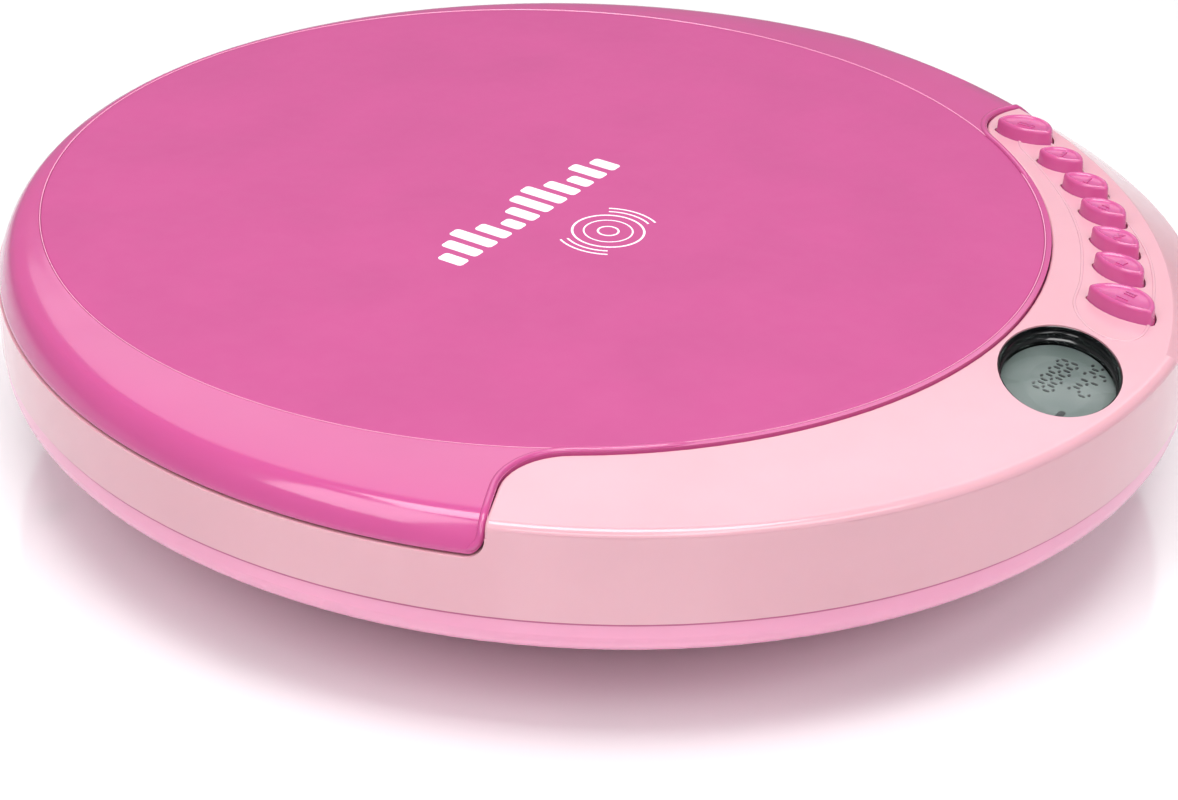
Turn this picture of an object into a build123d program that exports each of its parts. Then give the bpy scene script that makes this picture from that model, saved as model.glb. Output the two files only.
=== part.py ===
from build123d import *
import os
from math import atan2, cos, hypot, pi, radians, sin, sqrt, tan

# Portable disc player. Millimetres, +Z up. The origin is on the surface it stands on, below the
# centre of the round case. The display faces -Y, the lid hinge is at +Y and the keys are at +X -Y.

# ---- driving dimensions ------------------------------------------------------------------------
CASE_R = 71.0            # outer radius of the round case
FOOT_H = 1.2             # the feet lift the base by this much
PART_Z = 15.8            # parting line between the two case halves
RIM_Z = 22.4             # top of the rim under the lid's skirt
DECK_Z = 26.7            # top of the crescent-shaped control deck
TOP_Z = 27.0             # top of the lid
WALL = 1.6               # case wall
GAP = 0.3                # shut line between lid and case

WELL_Y = 8.0             # the disc well, the spindle and the lid's flat top share this centre
WELL_R = 60.8            # well wall, for a 120 mm disc
WELL_WALL = 1.4
FLOOR_Z = 20.2           # top of the well floor
FLOOR_T = 1.2
LEDGE_Z = 17.8           # underside of the ledge that carries the well floor
LEDGE_R = 58.5

DECK_END = 66.3          # the control deck spans this angle each side of -Y
DECK_CORNER_R = 8.0      # rounding of the deck's inner corners
DECK_EDGE_R = 1.0        # rounding of the deck's outer edge
DECK_INNER_R = 0.35      # rounding of the edge that faces the lid
DECK_FOOT_R = 2.2        # rounding where the deck's ends rise from the rim

FALL_R, FALL_SHIFT = 80.3, 16.6      # circle beyond which the top falls away beside the keys
FALL_ANGLE = -35.0       # direction in which that circle comes closest to the middle
FALL_SLOPE = 33.0        # slope of the falling edge, degrees from level
FALL_EDGE_R = 3.0        # rounding where it starts

FEET = ((-37.5, 21.5), (37.5, 21.5), (-31.0, -31.0), (31.0, -31.0))
UNDER_SLOPE = 26.5       # slope of the underside, degrees from level
BELLY_R = 2.6            # rounding between the side wall and the underside
BELLY_Z = 14.0           # height where the side wall starts to curve under

LID_R = CASE_R - 0.15
SKIRT_Z = 22.65          # lower edge of the lid's skirt
TURN_R, TURN_Z = 70.55, 24.4     # the skirt turns inward here
SHOULDER_R, SHOULDER_Z = 68.7, 26.2
SHOULDER_Y = 0.6         # the shoulder's circle is set back a little
INLAY_R = 59.9           # flat disc let into the lid
INLAY_T = 0.5
LID_T = 1.3
LINER_R, LINER_Z = 56.0, 24.8

HINGE_Y, HINGE_Z = 66.0, 18.0
HINGE_X = 12.0           # the two lid arms stand this far each side of the middle
ARM_W = 3.6
EYE_R = 2.1
PIN_R = 1.0
SPRING_X0, SPRING_X1 = 5.6, 8.7

DISPLAY = (-2.3, -61.1)  # centre of the display opening
DISPLAY_A, DISPLAY_B = 10.5, 6.8
DISPLAY_TILT = 26.4

KEY_TIP_R = 58.3         # the keys' inner tips lie on this circle
KEY_PROUD = 1.8          # the keys stand this far above the deck
KEY_GAP = 0.22
# name: angle of the inner tip, length, lean of the long axis, bulge at right, bulge at left
KEYS = {
    "open_key": (-27.7, 7.6, -90, 3.4, 1.4),
    "program_key": (-37.5, 6.1, -91, 2.35, 1.35),
    "mode_key": (-44.8, 6.4, -97, 2.35, 1.35),
    "forward_key": (-51.9, 6.6, -101, 2.35, 1.35),
    "back_key": (-59.4, 7.1, -105, 2.35, 1.35),
    "stop_key": (-66.2, 7.3, -106, 2.45, 1.35),
    "play_key": (-74.8, 9.0, -103, 3.6, 1.2),
}
DECK_T = 1.6             # thickness of the deck's top
BOARD_Z = 20.4           # underside of the key board
BOARD_T = 1.0
SWITCH_TOP = 22.6        # top of the push switches' plungers

LATCH_ANGLE = 55.7       # direction in which the latch slides
HOOK_S = 14.2            # the lid hook stands this far from the open key along that direction
LATCH_Z0, LATCH_Z1 = 18.1, 20.1

CELL_R, CELL_L = 7.25, 50.5
CELL_Z = 10.5
CELL_Y = (26.4, 41.6)
BAY_X, BAY_Y0, BAY_Y1 = 29.2, 18.6, 49.4
BAY_WALL = 1.2
BAY_TOP = 18.9
HUMP_X, HUMP_Y1 = 31.6, 51.8
DOOR_X = 27.2

MAIN_BOARD_Z, MAIN_BOARD_T, MAIN_BOARD_R = 11.2, 1.2, 64.3
JACK_Z = 15.1
JACK_ANGLE, INLET_ANGLE = -2.0, 30.0
VOLUME_ANGLE, VOLUME_R, VOLUME_AT = 14.0, 7.5, 64.3
SWITCH_ANGLE, SWITCH_AT = 160.0, 67.0

SCREW_AT = 66.2
SCREW_ANGLES = (48, 132, 180, -146, -117, -48)

SEAT_Z = 22.1            # the disc's underside
HUB_R = 7.45             # fits the 15 mm hole of a disc
SPINDLE = (0.0, WELL_Y)
CHASSIS_Z, CHASSIS_T = 16.4, 1.0
MOUNT_X, MOUNT_Y = 27.5, (-39.0, 10.0)
ROD_X, ROD_Z, ROD_R = 18.0, 13.4, 1.2
LENS_RADIUS = 24.0       # lens to spindle at the inner end of its travel
LENS_Y = WELL_Y - LENS_RADIUS
SLED_TRAVEL = 34.0
MODULE = 0.5
GEAR_TEETH, PINION_TEETH = 24, 10
RACK_X = -23.0           # pitch line of the rack
GEAR_Y = -24.0
GEAR_Z, GEAR_T = 12.8, 1.2


# ---- helpers -----------------------------------------------------------------------------------
def slab(face, low, high):
    """Extrude a flat outline from one height to another."""
    return Pos(0, 0, low) * extrude(face, high - low)


def rod(radius, low, high, x=0.0, y=0.0):
    """Upright cylinder."""
    return Pos(x, y, low) * Cylinder(radius, high - low, align=(Align.CENTER, Align.CENTER, Align.MIN))


def tube(outer, inner, low, high, x=0.0, y=0.0):
    """Upright ring."""
    return rod(outer, low, high, x, y) - rod(inner, low, high, x, y)


def block(x0, x1, y0, y1, low, high):
    """Box between two corners."""
    size = Box(x1 - x0, y1 - y0, high - low, align=(Align.MIN, Align.MIN, Align.MIN))
    return Pos(x0, y0, low) * size


def polar(radius, angle):
    """Point on a circle about the case's centre."""
    return radius * cos(radians(angle)), radius * sin(radians(angle))


def along_x(radius, x0, x1, y, z):
    """Cylinder lying along X."""
    lying = Rotation(0, 90, 0) * Cylinder(radius, x1 - x0, align=(Align.CENTER, Align.CENTER, Align.MIN))
    return Pos(x0, y, z) * lying


def along_y(radius, y0, y1, x, z):
    """Cylinder lying along Y."""
    lying = Rotation(-90, 0, 0) * Cylinder(radius, y1 - y0, align=(Align.CENTER, Align.CENTER, Align.MIN))
    return Pos(x, y0, z) * lying


def coil(radius, wire, pitch, height):
    """Coil spring standing on Z=0."""
    path = Helix(pitch, height, radius)
    section = Plane(origin=path @ 0, z_dir=path % 0) * Circle(wire / 2)
    return Pos(0, 0, wire / 2) * sweep(section, path=path, is_frenet=True)


def edges_at(shape, z, tolerance=0.02):
    """Edges that lie wholly at one height."""
    return [e for e in shape.edges()
            if abs(e.bounding_box().min.Z - z) < tolerance and abs(e.bounding_box().max.Z - z) < tolerance]


def save(name, shape):
    """Write one named piece."""
    shape.label = name
    export_step(shape, f"parts/{name}.step")


# ---- outlines shared by several pieces ---------------------------------------------------------
def well_circle(radius):
    return Pos(0, WELL_Y) * Circle(radius)


def control_deck_outline():
    """Crescent at the front, outside the disc well, with rounded inner corners."""
    reach = 200.0
    left = (reach * cos(radians(-90 - DECK_END)), reach * sin(radians(-90 - DECK_END)))
    right = (-left[0], left[1])
    wedge = make_face(Polyline((0, 0), left, (left[0], -reach), (right[0], -reach), right, (0, 0)))
    crescent = (Circle(CASE_R) - well_circle(WELL_R)) & wedge
    inner = [v for v in crescent.vertices() if hypot(v.X, v.Y) < CASE_R - 2]
    return fillet(inner, DECK_CORNER_R)


def grown(outline, amount):
    """Outline moved outward, or inward when the amount is negative."""
    return offset(outline, amount=amount, kind=Kind.ARC)


DECK = control_deck_outline()


def display_outline(amount=0.0):
    """Tilted oval of the display opening."""
    oval = Ellipse(DISPLAY_A + amount, DISPLAY_B + amount)
    return Pos(*DISPLAY) * Rot(0, 0, DISPLAY_TILT) * oval


def key_frame(name):
    """Inner tip, outer tip, right-hand unit normal and middle of a key."""
    tip_angle, length, lean, right, left = KEYS[name]
    x0, y0 = polar(KEY_TIP_R, tip_angle)
    dx, dy = cos(radians(lean)), sin(radians(lean))
    x1, y1 = x0 + length * dx, y0 + length * dy
    normal = (-dy, dx)
    middle = ((x0 + x1) / 2, (y0 + y1) / 2)
    return (x0, y0), (x1, y1), normal, middle


def key_outline(name, amount=0.0):
    """Leaf shape between two rounded points, fuller on the right, grown all round by amount."""
    right, left = KEYS[name][3:]
    start, end, normal, middle = key_frame(name)
    length = KEYS[name][1]
    along = ((end[0] - start[0]) / length, (end[1] - start[1]) / length)
    reach = 1.6 * amount
    start = (start[0] - reach * along[0], start[1] - reach * along[1])
    end = (end[0] + reach * along[0], end[1] + reach * along[1])
    fuller = (middle[0] + normal[0] * (right + amount), middle[1] + normal[1] * (right + amount))
    flatter = (middle[0] - normal[0] * (left + amount), middle[1] - normal[1] * (left + amount))
    leaf = make_face([ThreePointArc(start, fuller, end), ThreePointArc(end, flatter, start)])
    return fillet(leaf.vertices(), 0.45 + amount)


def key_stem(name):
    """Centre of the stem, under the middle of the leaf."""
    right, left = KEYS[name][3:]
    normal, middle = key_frame(name)[2:]
    shift = (right - left) / 2
    return middle[0] + normal[0] * shift, middle[1] + normal[1] * shift


def collar_radius(name):
    return 2.75 if name in ("open_key", "play_key") else 2.5


LATCH_ORIGIN = key_stem("open_key")


def on_latch(shape):
    """Place a shape drawn along +X from the open key's stem onto the latch's line."""
    return Pos(*LATCH_ORIGIN, 0) * Rot(0, 0, LATCH_ANGLE) * shape


def side_fall(inset):
    """Solid below the falling edge beside the keys, moved inward by inset."""
    slope = radians(FALL_SLOPE)
    radius = FALL_EDGE_R - inset
    top, centre, low = TOP_Z - inset, TOP_Z - FALL_EDGE_R, PART_Z - 1
    middle = (FALL_R + radius * sin(slope / 2), centre + radius * cos(slope / 2))
    end = (FALL_R + radius * sin(slope), centre + radius * cos(slope))
    foot = (end[0] + (end[1] - low) / tan(slope), low)
    outline = [
        Line((0, low), foot),
        Line(foot, end),
        ThreePointArc(end, middle, (FALL_R, top)),
        Line((FALL_R, top), (0, top)),
        Line((0, top), (0, low)),
    ]
    x, y = polar(-FALL_SHIFT, FALL_ANGLE)
    return Pos(x, y, 0) * revolve(Plane.XZ * make_face(outline), Axis.Z)


# ---- lower case --------------------------------------------------------------------------------
def bowl(inset, top):
    """Solid of the lower case's form, moved inward by inset."""
    slope = radians(UNDER_SLOPE)
    side = CASE_R - 0.25
    centre = side - BELLY_R
    radius = BELLY_R - inset
    end_angle = -pi / 2 + slope
    end = (centre + radius * cos(end_angle), BELLY_Z + radius * sin(end_angle))
    middle = (centre + radius * cos(end_angle / 2), BELLY_Z + radius * sin(end_angle / 2))
    base_z = FOOT_H + inset
    base_r = end[0] - (end[1] - base_z) / tan(slope)
    outline = [
        Line((0, base_z), (base_r, base_z)),
        Line((base_r, base_z), end),
        ThreePointArc(end, middle, (centre + radius, BELLY_Z)),
        Line((centre + radius, BELLY_Z), (centre + radius, top)),
        Line((centre + radius, top), (0, top)),
        Line((0, top), (0, base_z)),
    ]
    profile = Plane.XZ * make_face(outline)
    return revolve(profile, Axis.Z)


def bay(grow, low, high, rear=0.0):
    """Block of the battery bay."""
    return block(-BAY_X - grow, BAY_X + grow, BAY_Y0 - grow, BAY_Y1 + grow + rear, low, high)


def side_openings():
    """Cut-outs for the jack, the power inlet and the volume wheel, through both case halves."""
    jack = Rot(0, 0, JACK_ANGLE) * along_x(2.7, 64, 75, 0, JACK_Z)
    inlet = Rot(0, 0, INLET_ANGLE) * along_x(3.1, 64, 75, 0, JACK_Z)
    x, y = polar(VOLUME_AT, VOLUME_ANGLE)
    wheel = rod(VOLUME_R + 0.5, 14.2, 17.3, x, y) - rod(67.6, 14.0, 17.4)
    return jack + inlet + wheel


def lower_case():
    top = PART_Z - 0.1
    hump = block(-HUMP_X, HUMP_X, 15.0, HUMP_Y1, FOOT_H, 10.0)
    hump = fillet(hump.edges().filter_by(Axis.Z), 5.0)
    outer = bowl(0, top) + hump
    shell = outer - bowl(WALL, top + 5)
    inside = bay(BAY_WALL, FOOT_H, BAY_TOP)
    for x in (-MOUNT_X, MOUNT_X):
        for y in MOUNT_Y:
            inside += rod(2.8, FOOT_H, CHASSIS_Z - 1.0, x, y)
    for x, y in ((-52, -20), (-50, 32), (50, -22), (48, 32), (0, 57.5)):
        inside += rod(2.4, FOOT_H, MAIN_BOARD_Z, x, y)
    for angle in SCREW_ANGLES:
        inside += rod(3.6, FOOT_H, top, *polar(SCREW_AT, angle))
    shell += inside & (bowl(0.8, BAY_TOP + 1) + hump)
    shell -= bay(0, CELL_Z - CELL_R, BAY_TOP - 0.9)
    for x in (-MOUNT_X, MOUNT_X):
        for y in MOUNT_Y:
            shell -= rod(0.85, 8.0, CHASSIS_Z, x, y)
    for angle in SCREW_ANGLES:
        x, y = polar(SCREW_AT, angle)
        shell -= rod(1.3, 9.0, top + 1, x, y)
        shell -= rod(2.5, 5.0, 12.4, x, y)
    door_window = block(-27.5, 27.5, BAY_Y0, HUMP_Y1 + 1, FOOT_H - 1, CELL_Z - CELL_R + 0.05)
    door_grooves = block(-29.0, 29.0, BAY_Y0, HUMP_Y1 + 1, 1.95, CELL_Z - CELL_R + 0.05)
    shell = shell - door_window - door_grooves
    for x, y in FEET:
        shell -= rod(4.1, FOOT_H - 0.5, FOOT_H + 0.7, x, y)
    for slot in range(5):
        shell -= block(-8, 8, -36 + 4 * slot, -34.6 + 4 * slot, 0, FOOT_H + 2)
    return shell - side_openings()


def rubber_feet():
    feet = Part()
    for x, y in FEET:
        foot = rod(4.0, 0, FOOT_H + 0.65, x, y)
        feet += fillet(edges_at(foot, 0), 0.5)
    return feet


# ---- upper case --------------------------------------------------------------------------------
def screw_bosses():
    """Bosses that reach up to the rim, or to the deck where there is no rim below it."""
    bosses = Part()
    for angle in SCREW_ANGLES:
        top = DECK_Z - DECK_T + 0.4 if -150 < angle < -30 else RIM_Z - 1.0
        bosses += rod(2.8, PART_Z, top, *polar(SCREW_AT, angle))
    return bosses


def hinge_cheeks():
    """Brackets that hold the hinge pins, one each side of each lid arm."""
    cheeks = Part()
    for side in (-1, 1):
        for gap in (-1, 1):
            x = side * HINGE_X + gap * (ARM_W / 2 + 0.75)
            cheeks += block(x - 0.5, x + 0.5, HINGE_Y - 1.9, 69.0, 16.2, LEDGE_Z + 1.2)
    return cheeks


def deck_corner_webs(gap):
    """Concave rounding where the deck's ends rise from the rim."""
    foot = RIM_Z + gap
    mass = slab(grown(DECK, gap + 0.1) if gap else DECK, foot - 2, foot + 3.9)
    mass += slab(Circle(CASE_R + 4), foot - 2, foot)
    inner = [e for e in edges_at(mass, foot) if hypot(e.center().X, e.center().Y) < CASE_R]
    inner = [e for e in inner if e.length < 2 * pi * CASE_R]
    mass = fillet(inner, DECK_FOOT_R)
    ends = Part()
    for side in (-1, 1):
        x, y = polar(66.0, -90 + side * (DECK_END + 2))
        ends += block(x - 9, x + 9, y - 9, y + 9, foot - 0.4, foot + DECK_FOOT_R + 0.2)
    return mass & ends


def rounded_side():
    """Round solid whose top edge is the deck's rounded outer edge."""
    turn = DECK_Z - DECK_EDGE_R
    reach = DECK_EDGE_R * sin(pi / 4)
    middle = (CASE_R - DECK_EDGE_R + reach, turn + reach)
    outline = [
        Line((0, PART_Z), (CASE_R, PART_Z)),
        Line((CASE_R, PART_Z), (CASE_R, turn)),
        ThreePointArc((CASE_R, turn), middle, (CASE_R - DECK_EDGE_R, DECK_Z)),
        Line((CASE_R - DECK_EDGE_R, DECK_Z), (0, DECK_Z)),
        Line((0, DECK_Z), (0, PART_Z)),
    ]
    return revolve(Plane.XZ * make_face(outline), Axis.Z)


def upper_case():
    well = well_circle(WELL_R)
    hollow_top = DECK_Z - DECK_T
    shell = slab(Circle(CASE_R), PART_Z, RIM_Z) + slab(DECK, RIM_Z - 0.5, DECK_Z)
    shell = shell & rounded_side()
    edges = sorted(edges_at(shell, DECK_Z), key=lambda edge: edge.length)
    shell = fillet(edges[:-1], DECK_INNER_R) & side_fall(0)
    shell += deck_corner_webs(0) & rod(CASE_R, RIM_Z - 0.5, DECK_Z) & side_fall(0)
    shell -= slab(Circle(CASE_R - WALL) - well_circle(WELL_R + WELL_WALL), PART_Z, RIM_Z - 1.4)
    shell -= slab(Circle(CASE_R - WALL) & well_circle(WELL_R + WELL_WALL), PART_Z, LEDGE_Z)
    shell -= slab(grown(DECK, -1.5) & Circle(CASE_R - WALL), PART_Z, hollow_top) & side_fall(WALL)
    shell += screw_bosses() & rod(CASE_R - 0.8, PART_Z, DECK_Z) & side_fall(0.8)
    shell -= slab(well, LEDGE_Z + FLOOR_T, RIM_Z + 1)
    shell -= slab(well_circle(LEDGE_R), PART_Z - 1, LEDGE_Z + 2)
    for angle in SCREW_ANGLES:
        shell -= rod(1.25, PART_Z - 1, LEDGE_Z + 0.8, *polar(SCREW_AT, angle))
    shell -= slab(display_outline(), hollow_top - 2.6, DECK_Z + 1)
    for name in KEYS:
        shell -= slab(key_outline(name, KEY_GAP), hollow_top - 1.8, DECK_Z + 1)
    shell -= block(-9.6, 9.6, -59.0, -45.0, PART_Z, 19.7)
    shell -= block(-4.4, 4.4, -54.4, -45.0, 19.0, 21.5)
    shell += hinge_cheeks()
    shell = shell - hinge_clearance() - side_openings()
    shell -= Rot(0, 0, SWITCH_ANGLE) * rod(1.4, 20.0, RIM_Z + 1, SWITCH_AT)
    shell -= on_latch(block(HOOK_S - 1.3, HOOK_S + 1.5, -2.0, 2.0, RIM_Z - 2.5, RIM_Z + 1))
    guide = block(9.5, 11.5, -3.7, 3.7, 16.9, RIM_Z - 1.3) - block(9, 12, -2.65, 2.65, 17.95, 20.25)
    stop = block(20.1, 21.2, -2.0, 2.0, 17.9, RIM_Z - 1.3)
    shell += on_latch(guide) + on_latch(stop)
    shell -= slab(well, LEDGE_Z + FLOOR_T, RIM_Z + 1)
    return shell


def hinge_clearance():
    """Room for the lid arms and for the back of the lid's skirt as the lid swings open."""
    room = Part()
    half = ARM_W / 2 + 0.25
    for side in (-1, 1):
        x = side * HINGE_X
        room += block(x - half, x + half, 65.0, 75, 16.8, 30)
        room += along_x(EYE_R + 0.3, x - half, x + half, HINGE_Y, HINGE_Z)
        room += along_x(PIN_R + 0.03, x - 3.2, x + 3.2, HINGE_Y, HINGE_Z)
        x0, x1 = sorted((side * SPRING_X0, side * SPRING_X1))
        room += along_x(2.0, x0 - 0.2, x1 + 0.2, HINGE_Y, HINGE_Z)
    swing = block(-25.0, 25.0, HINGE_Y + 0.01, 75, HINGE_Z, 30)
    swing -= along_x(4.4, -28, 28, HINGE_Y, HINGE_Z)
    swing -= along_x(5.0, -11, 11, HINGE_Y, HINGE_Z)
    return room + swing


# ---- well floor --------------------------------------------------------------------------------
def disc_deck():
    low = LEDGE_Z + FLOOR_T
    floor = slab(well_circle(WELL_R - 0.2), low, FLOOR_Z)
    floor += tube(20.0, 17.5, low, FLOOR_Z + 0.35, *SPINDLE)
    floor += tube(57.5, 56.5, low, FLOOR_Z + 0.2, *SPINDLE)
    floor -= rod(12.5, low - 1, FLOOR_Z + 1, *SPINDLE)
    floor -= block(-9.6, 9.6, -60.0, WELL_Y - 8, low - 1, FLOOR_Z + 1)
    for x0, x1 in ((-14.3, -5.2), (5.2, 14.3)):
        floor -= block(x0, x1, 63.3, 75, low - 1, FLOOR_Z + 1)
    for x in (-40, 40):
        floor -= rod(1.2, low - 1, FLOOR_Z + 1, x, -12)
    return floor


# ---- lid ---------------------------------------------------------------------------------------
def lid_form(inset, top_r, skirt_z, drop, top_z):
    """Solid under the lid's skin: skirt, turn, shoulder, then the offset flat top."""
    rings = [
        Pos(0, 0, skirt_z) * Circle(LID_R - inset),
        Pos(0, 0, TURN_Z - drop) * Circle(TURN_R - inset),
        Pos(0, SHOULDER_Y, SHOULDER_Z - drop) * Circle(SHOULDER_R - inset),
        Pos(0, WELL_Y, top_z) * Circle(top_r),
    ]
    form = Part()
    for low, high in zip(rings, rings[1:]):
        form += loft([low, high], ruled=True)
    return form


def lid_shell():
    outer = lid_form(0, INLAY_R + 1.0, SKIRT_Z, 0, TOP_Z - 0.1) & side_fall(0)
    inner = lid_form(LID_T, INLAY_R - 0.6, SKIRT_Z, 1.2, TOP_Z - 1.5) & side_fall(LID_T)
    reach = Circle(LID_R + 1) - grown(DECK, GAP + 0.05)
    room = (Circle(LID_R) - grown(DECK, GAP + LID_T)) + well_circle(WELL_R + 0.8)
    shell = (outer & slab(reach, SKIRT_Z - 1, TOP_Z + 1)) - (inner & slab(room, SKIRT_Z - 1, TOP_Z - 1))
    shell -= slab(well_circle(WELL_R + 1.0), SKIRT_Z - 1, TOP_Z - 1.5)
    shell -= slab(well_circle(INLAY_R + 0.05), TOP_Z - INLAY_T, TOP_Z + 1)
    shell -= deck_corner_webs(SKIRT_Z - RIM_Z)
    for side in (-1, 1):
        shell += lid_arm(side * HINGE_X)
    shell += on_latch(lid_hook())
    x, y = polar(SWITCH_AT, SWITCH_ANGLE)
    shell += rod(1.0, RIM_Z + 0.55, TOP_Z - 1.2, x, y)
    return shell


def lid_arm(x):
    """Arm from the back of the lid down to the hinge pin, with its eye."""
    half = ARM_W / 2
    side = make_face(Polyline((64.6, 18.8), (65.6, 21.4), (67.2, 22.9), (67.2, 25.2), (68.2, 25.2),
                              (69.0, 24.2), (69.0, 22.6), (68.3, 21.0), (68.0, 18.0), (64.6, 18.8)))
    arm = Pos(x - half, 0, 0) * extrude(Plane.YZ * side, ARM_W)
    arm += along_x(EYE_R, x - half, x + half, HINGE_Y, HINGE_Z)
    return arm - along_x(PIN_R + 0.04, x - half - 1, x + half + 1, HINGE_Y, HINGE_Z)


def lid_hook():
    """Hook that drops through the rim, its nose pointing along the latch's travel."""
    blade = block(HOOK_S - 0.8, HOOK_S + 0.2, -1.5, 1.5, 18.4, TOP_Z - 1.2)
    nose = block(HOOK_S + 0.2, HOOK_S + 1.0, -1.5, 1.5, 18.4, 19.1)
    return blade + nose


def lid_liner():
    liner = slab(well_circle(LINER_R), LINER_Z, TOP_Z - 1.5)
    liner -= slab(well_circle(LINER_R - 6) - well_circle(22), LINER_Z - 1, LINER_Z + 0.3)
    return liner - rod(9.5, LINER_Z - 1, LINER_Z + 0.35, *SPINDLE)


def lid_bumpers():
    """Rubber pads on the rim, just under the closed lid."""
    pads = Part()
    for angle in (-165, -14, 148):
        pads += rod(1.5, RIM_Z, RIM_Z + 1.5, *polar(66.4, angle))
    return pads


def hinge_pins():
    pins = Part()
    for side in (-1, 1):
        x0, x1 = sorted((side * SPRING_X0, side * (HINGE_X + 3.1)))
        pins += along_x(PIN_R, x0, x1, HINGE_Y, HINGE_Z)
    return pins


def hinge_springs():
    """Coil springs round the pins that lift the lid."""
    springs = Part()
    for side in (-1, 1):
        spring = Rotation(0, 90, 0) * coil(1.45, 0.45, 0.62, 2.6)
        springs += Pos(min(side * SPRING_X0, side * SPRING_X1), HINGE_Y, HINGE_Z) * spring
    return springs


# ---- display -----------------------------------------------------------------------------------
def display_bezel():
    flange = display_outline(0.9) & grown(DECK, -1.8) & Circle(CASE_R - WALL - 0.1)
    bezel = slab(display_outline(-0.08), 23.5, DECK_Z - 0.15) + slab(flange, 24.1, DECK_Z - DECK_T - 0.05)
    bezel -= slab(display_outline(-0.9), 25.2, DECK_Z + 1)
    bezel -= slab(display_outline(-1.6), 23.0, DECK_Z + 1)
    return bezel & slab(grown(DECK, -0.2), 20, 30)


def display_window():
    return slab(display_outline(-0.95), 25.25, 25.85)


def lcd_panel():
    return block(-12.2, 8.6, -66.2, -55.6, 22.1, 23.35)


def lcd_frame():
    frame = block(-13.0, 9.4, -66.6, -55.2, 21.45, 22.05)
    return frame - block(-10.5, 6.9, -64.5, -57.2, 21, 23)


# ---- keys --------------------------------------------------------------------------------------
def key(name):
    """Leaf-shaped cap with a softened edge, a retaining collar and a stem."""
    top = DECK_Z + KEY_PROUD
    underside = DECK_Z - DECK_T
    cap = slab(key_outline(name), underside - 0.2, top)
    cap = fillet(edges_at(cap, top), 0.35)
    x, y = key_stem(name)
    cap += rod(collar_radius(name), underside - 0.9, underside - 0.1, x, y)
    if name == "open_key":
        return cap + on_latch(open_wedge())
    return cap + rod(1.1, SWITCH_TOP + 0.65, underside - 0.5, x, y)


def open_wedge():
    """Square stem whose sloped foot pushes the latch aside."""
    stem = block(-1.2, 1.2, -1.3, 1.3, 18.3, DECK_Z - DECK_T - 0.5)
    corner = make_face(Polyline((-3, 16.4), (3, 22.4), (3, 16.4), (-3, 16.4)))
    return stem - Pos(0, 4, 0) * extrude(Plane.XZ * corner, 8)


def key_board():
    """Circuit board under the control deck."""
    outline = grown(DECK, -2.4) & Circle(CASE_R - WALL - 0.5)
    board = slab(outline, BOARD_Z, BOARD_Z + BOARD_T)
    board -= rod(4.6, BOARD_Z - 1, BOARD_Z + 2, *LATCH_ORIGIN)
    for angle in SCREW_ANGLES:
        board -= rod(3.3, BOARD_Z - 1, BOARD_Z + 2, *polar(SCREW_AT, angle))
    return max(board.solids(), key=lambda solid: solid.volume)


def key_switches():
    """Push switches under the six electrical keys."""
    switches = Part()
    low = BOARD_Z + BOARD_T
    for name in KEYS:
        if name == "open_key":
            continue
        x, y = key_stem(name)
        switch = block(-1.8, 1.8, -1.8, 1.8, low, low + 1.0) + rod(0.9, low, SWITCH_TOP)
        switches += Pos(x, y) * Rot(0, 0, KEYS[name][2]) * switch
    return switches


# ---- latch -------------------------------------------------------------------------------------
def latch_slider():
    """Bar with a sloped end under the open key and a window for the lid hook."""
    bar = block(-1.0, 17.0, -2.5, 2.5, LATCH_Z0, LATCH_Z1)
    ramp = make_face(Polyline((-4, 15.25), (4, 23.25), (-4, 23.25), (-4, 15.25)))
    bar -= Pos(0, 4, 0) * extrude(Plane.XZ * ramp, 8)
    bar -= block(HOOK_S - 2.4, HOOK_S + 1.2, -1.8, 1.8, LATCH_Z0 - 1, LATCH_Z1 + 1)
    bar -= block(HOOK_S, HOOK_S + 2.2, -1.8, 1.8, LATCH_Z0 - 1, 19.25)
    return on_latch(bar)


def latch_spring():
    """Return spring, drawn at its compressed length between the latch and its stop."""
    spring = Rotation(0, 90, 0) * coil(0.7, 0.3, 0.42, 1.2)
    return on_latch(Pos(18.35, 0, 19.1) * spring)


# ---- electronics -------------------------------------------------------------------------------
def main_board():
    outline = Circle(MAIN_BOARD_R)
    outline -= Pos(-6, -24.2) * Rectangle(78, 84)
    outline -= Pos(0, 34.5) * Rectangle(64, 36)
    outline -= Pos(0, -60) * Rectangle(78, 30)
    board = slab(outline, MAIN_BOARD_Z, MAIN_BOARD_Z + MAIN_BOARD_T)
    for angle in SCREW_ANGLES:
        board -= rod(4.0, MAIN_BOARD_Z - 1, MAIN_BOARD_Z + 3, *polar(SCREW_AT, angle))
    return max(board.solids(), key=lambda solid: solid.volume)


def board_components():
    """Processor, driver and supply capacitors on the main board."""
    top = MAIN_BOARD_Z + MAIN_BOARD_T
    parts = block(40, 52, -20, -8, top, top + 1.5) + block(38, 46, 20, 30, top, top + 1.4)
    parts += block(-58, -49, 5, 12, top, top + 1.5)
    for x, y in ((-54, -5), (-54, -12), (-45, 40), (40, 40), (15, 58), (-15, 58)):
        parts += rod(2.4, top, top + 4.6, x, y)
    return parts


def headphone_jack():
    top = MAIN_BOARD_Z + MAIN_BOARD_T
    body = block(56.4, 66.0, -3.4, 3.4, top, 17.65) + along_x(2.55, 65.5, CASE_R - 0.1, 0, JACK_Z)
    body -= along_x(1.75, 57.0, 72, 0, JACK_Z)
    return Rot(0, 0, JACK_ANGLE) * body


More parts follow.
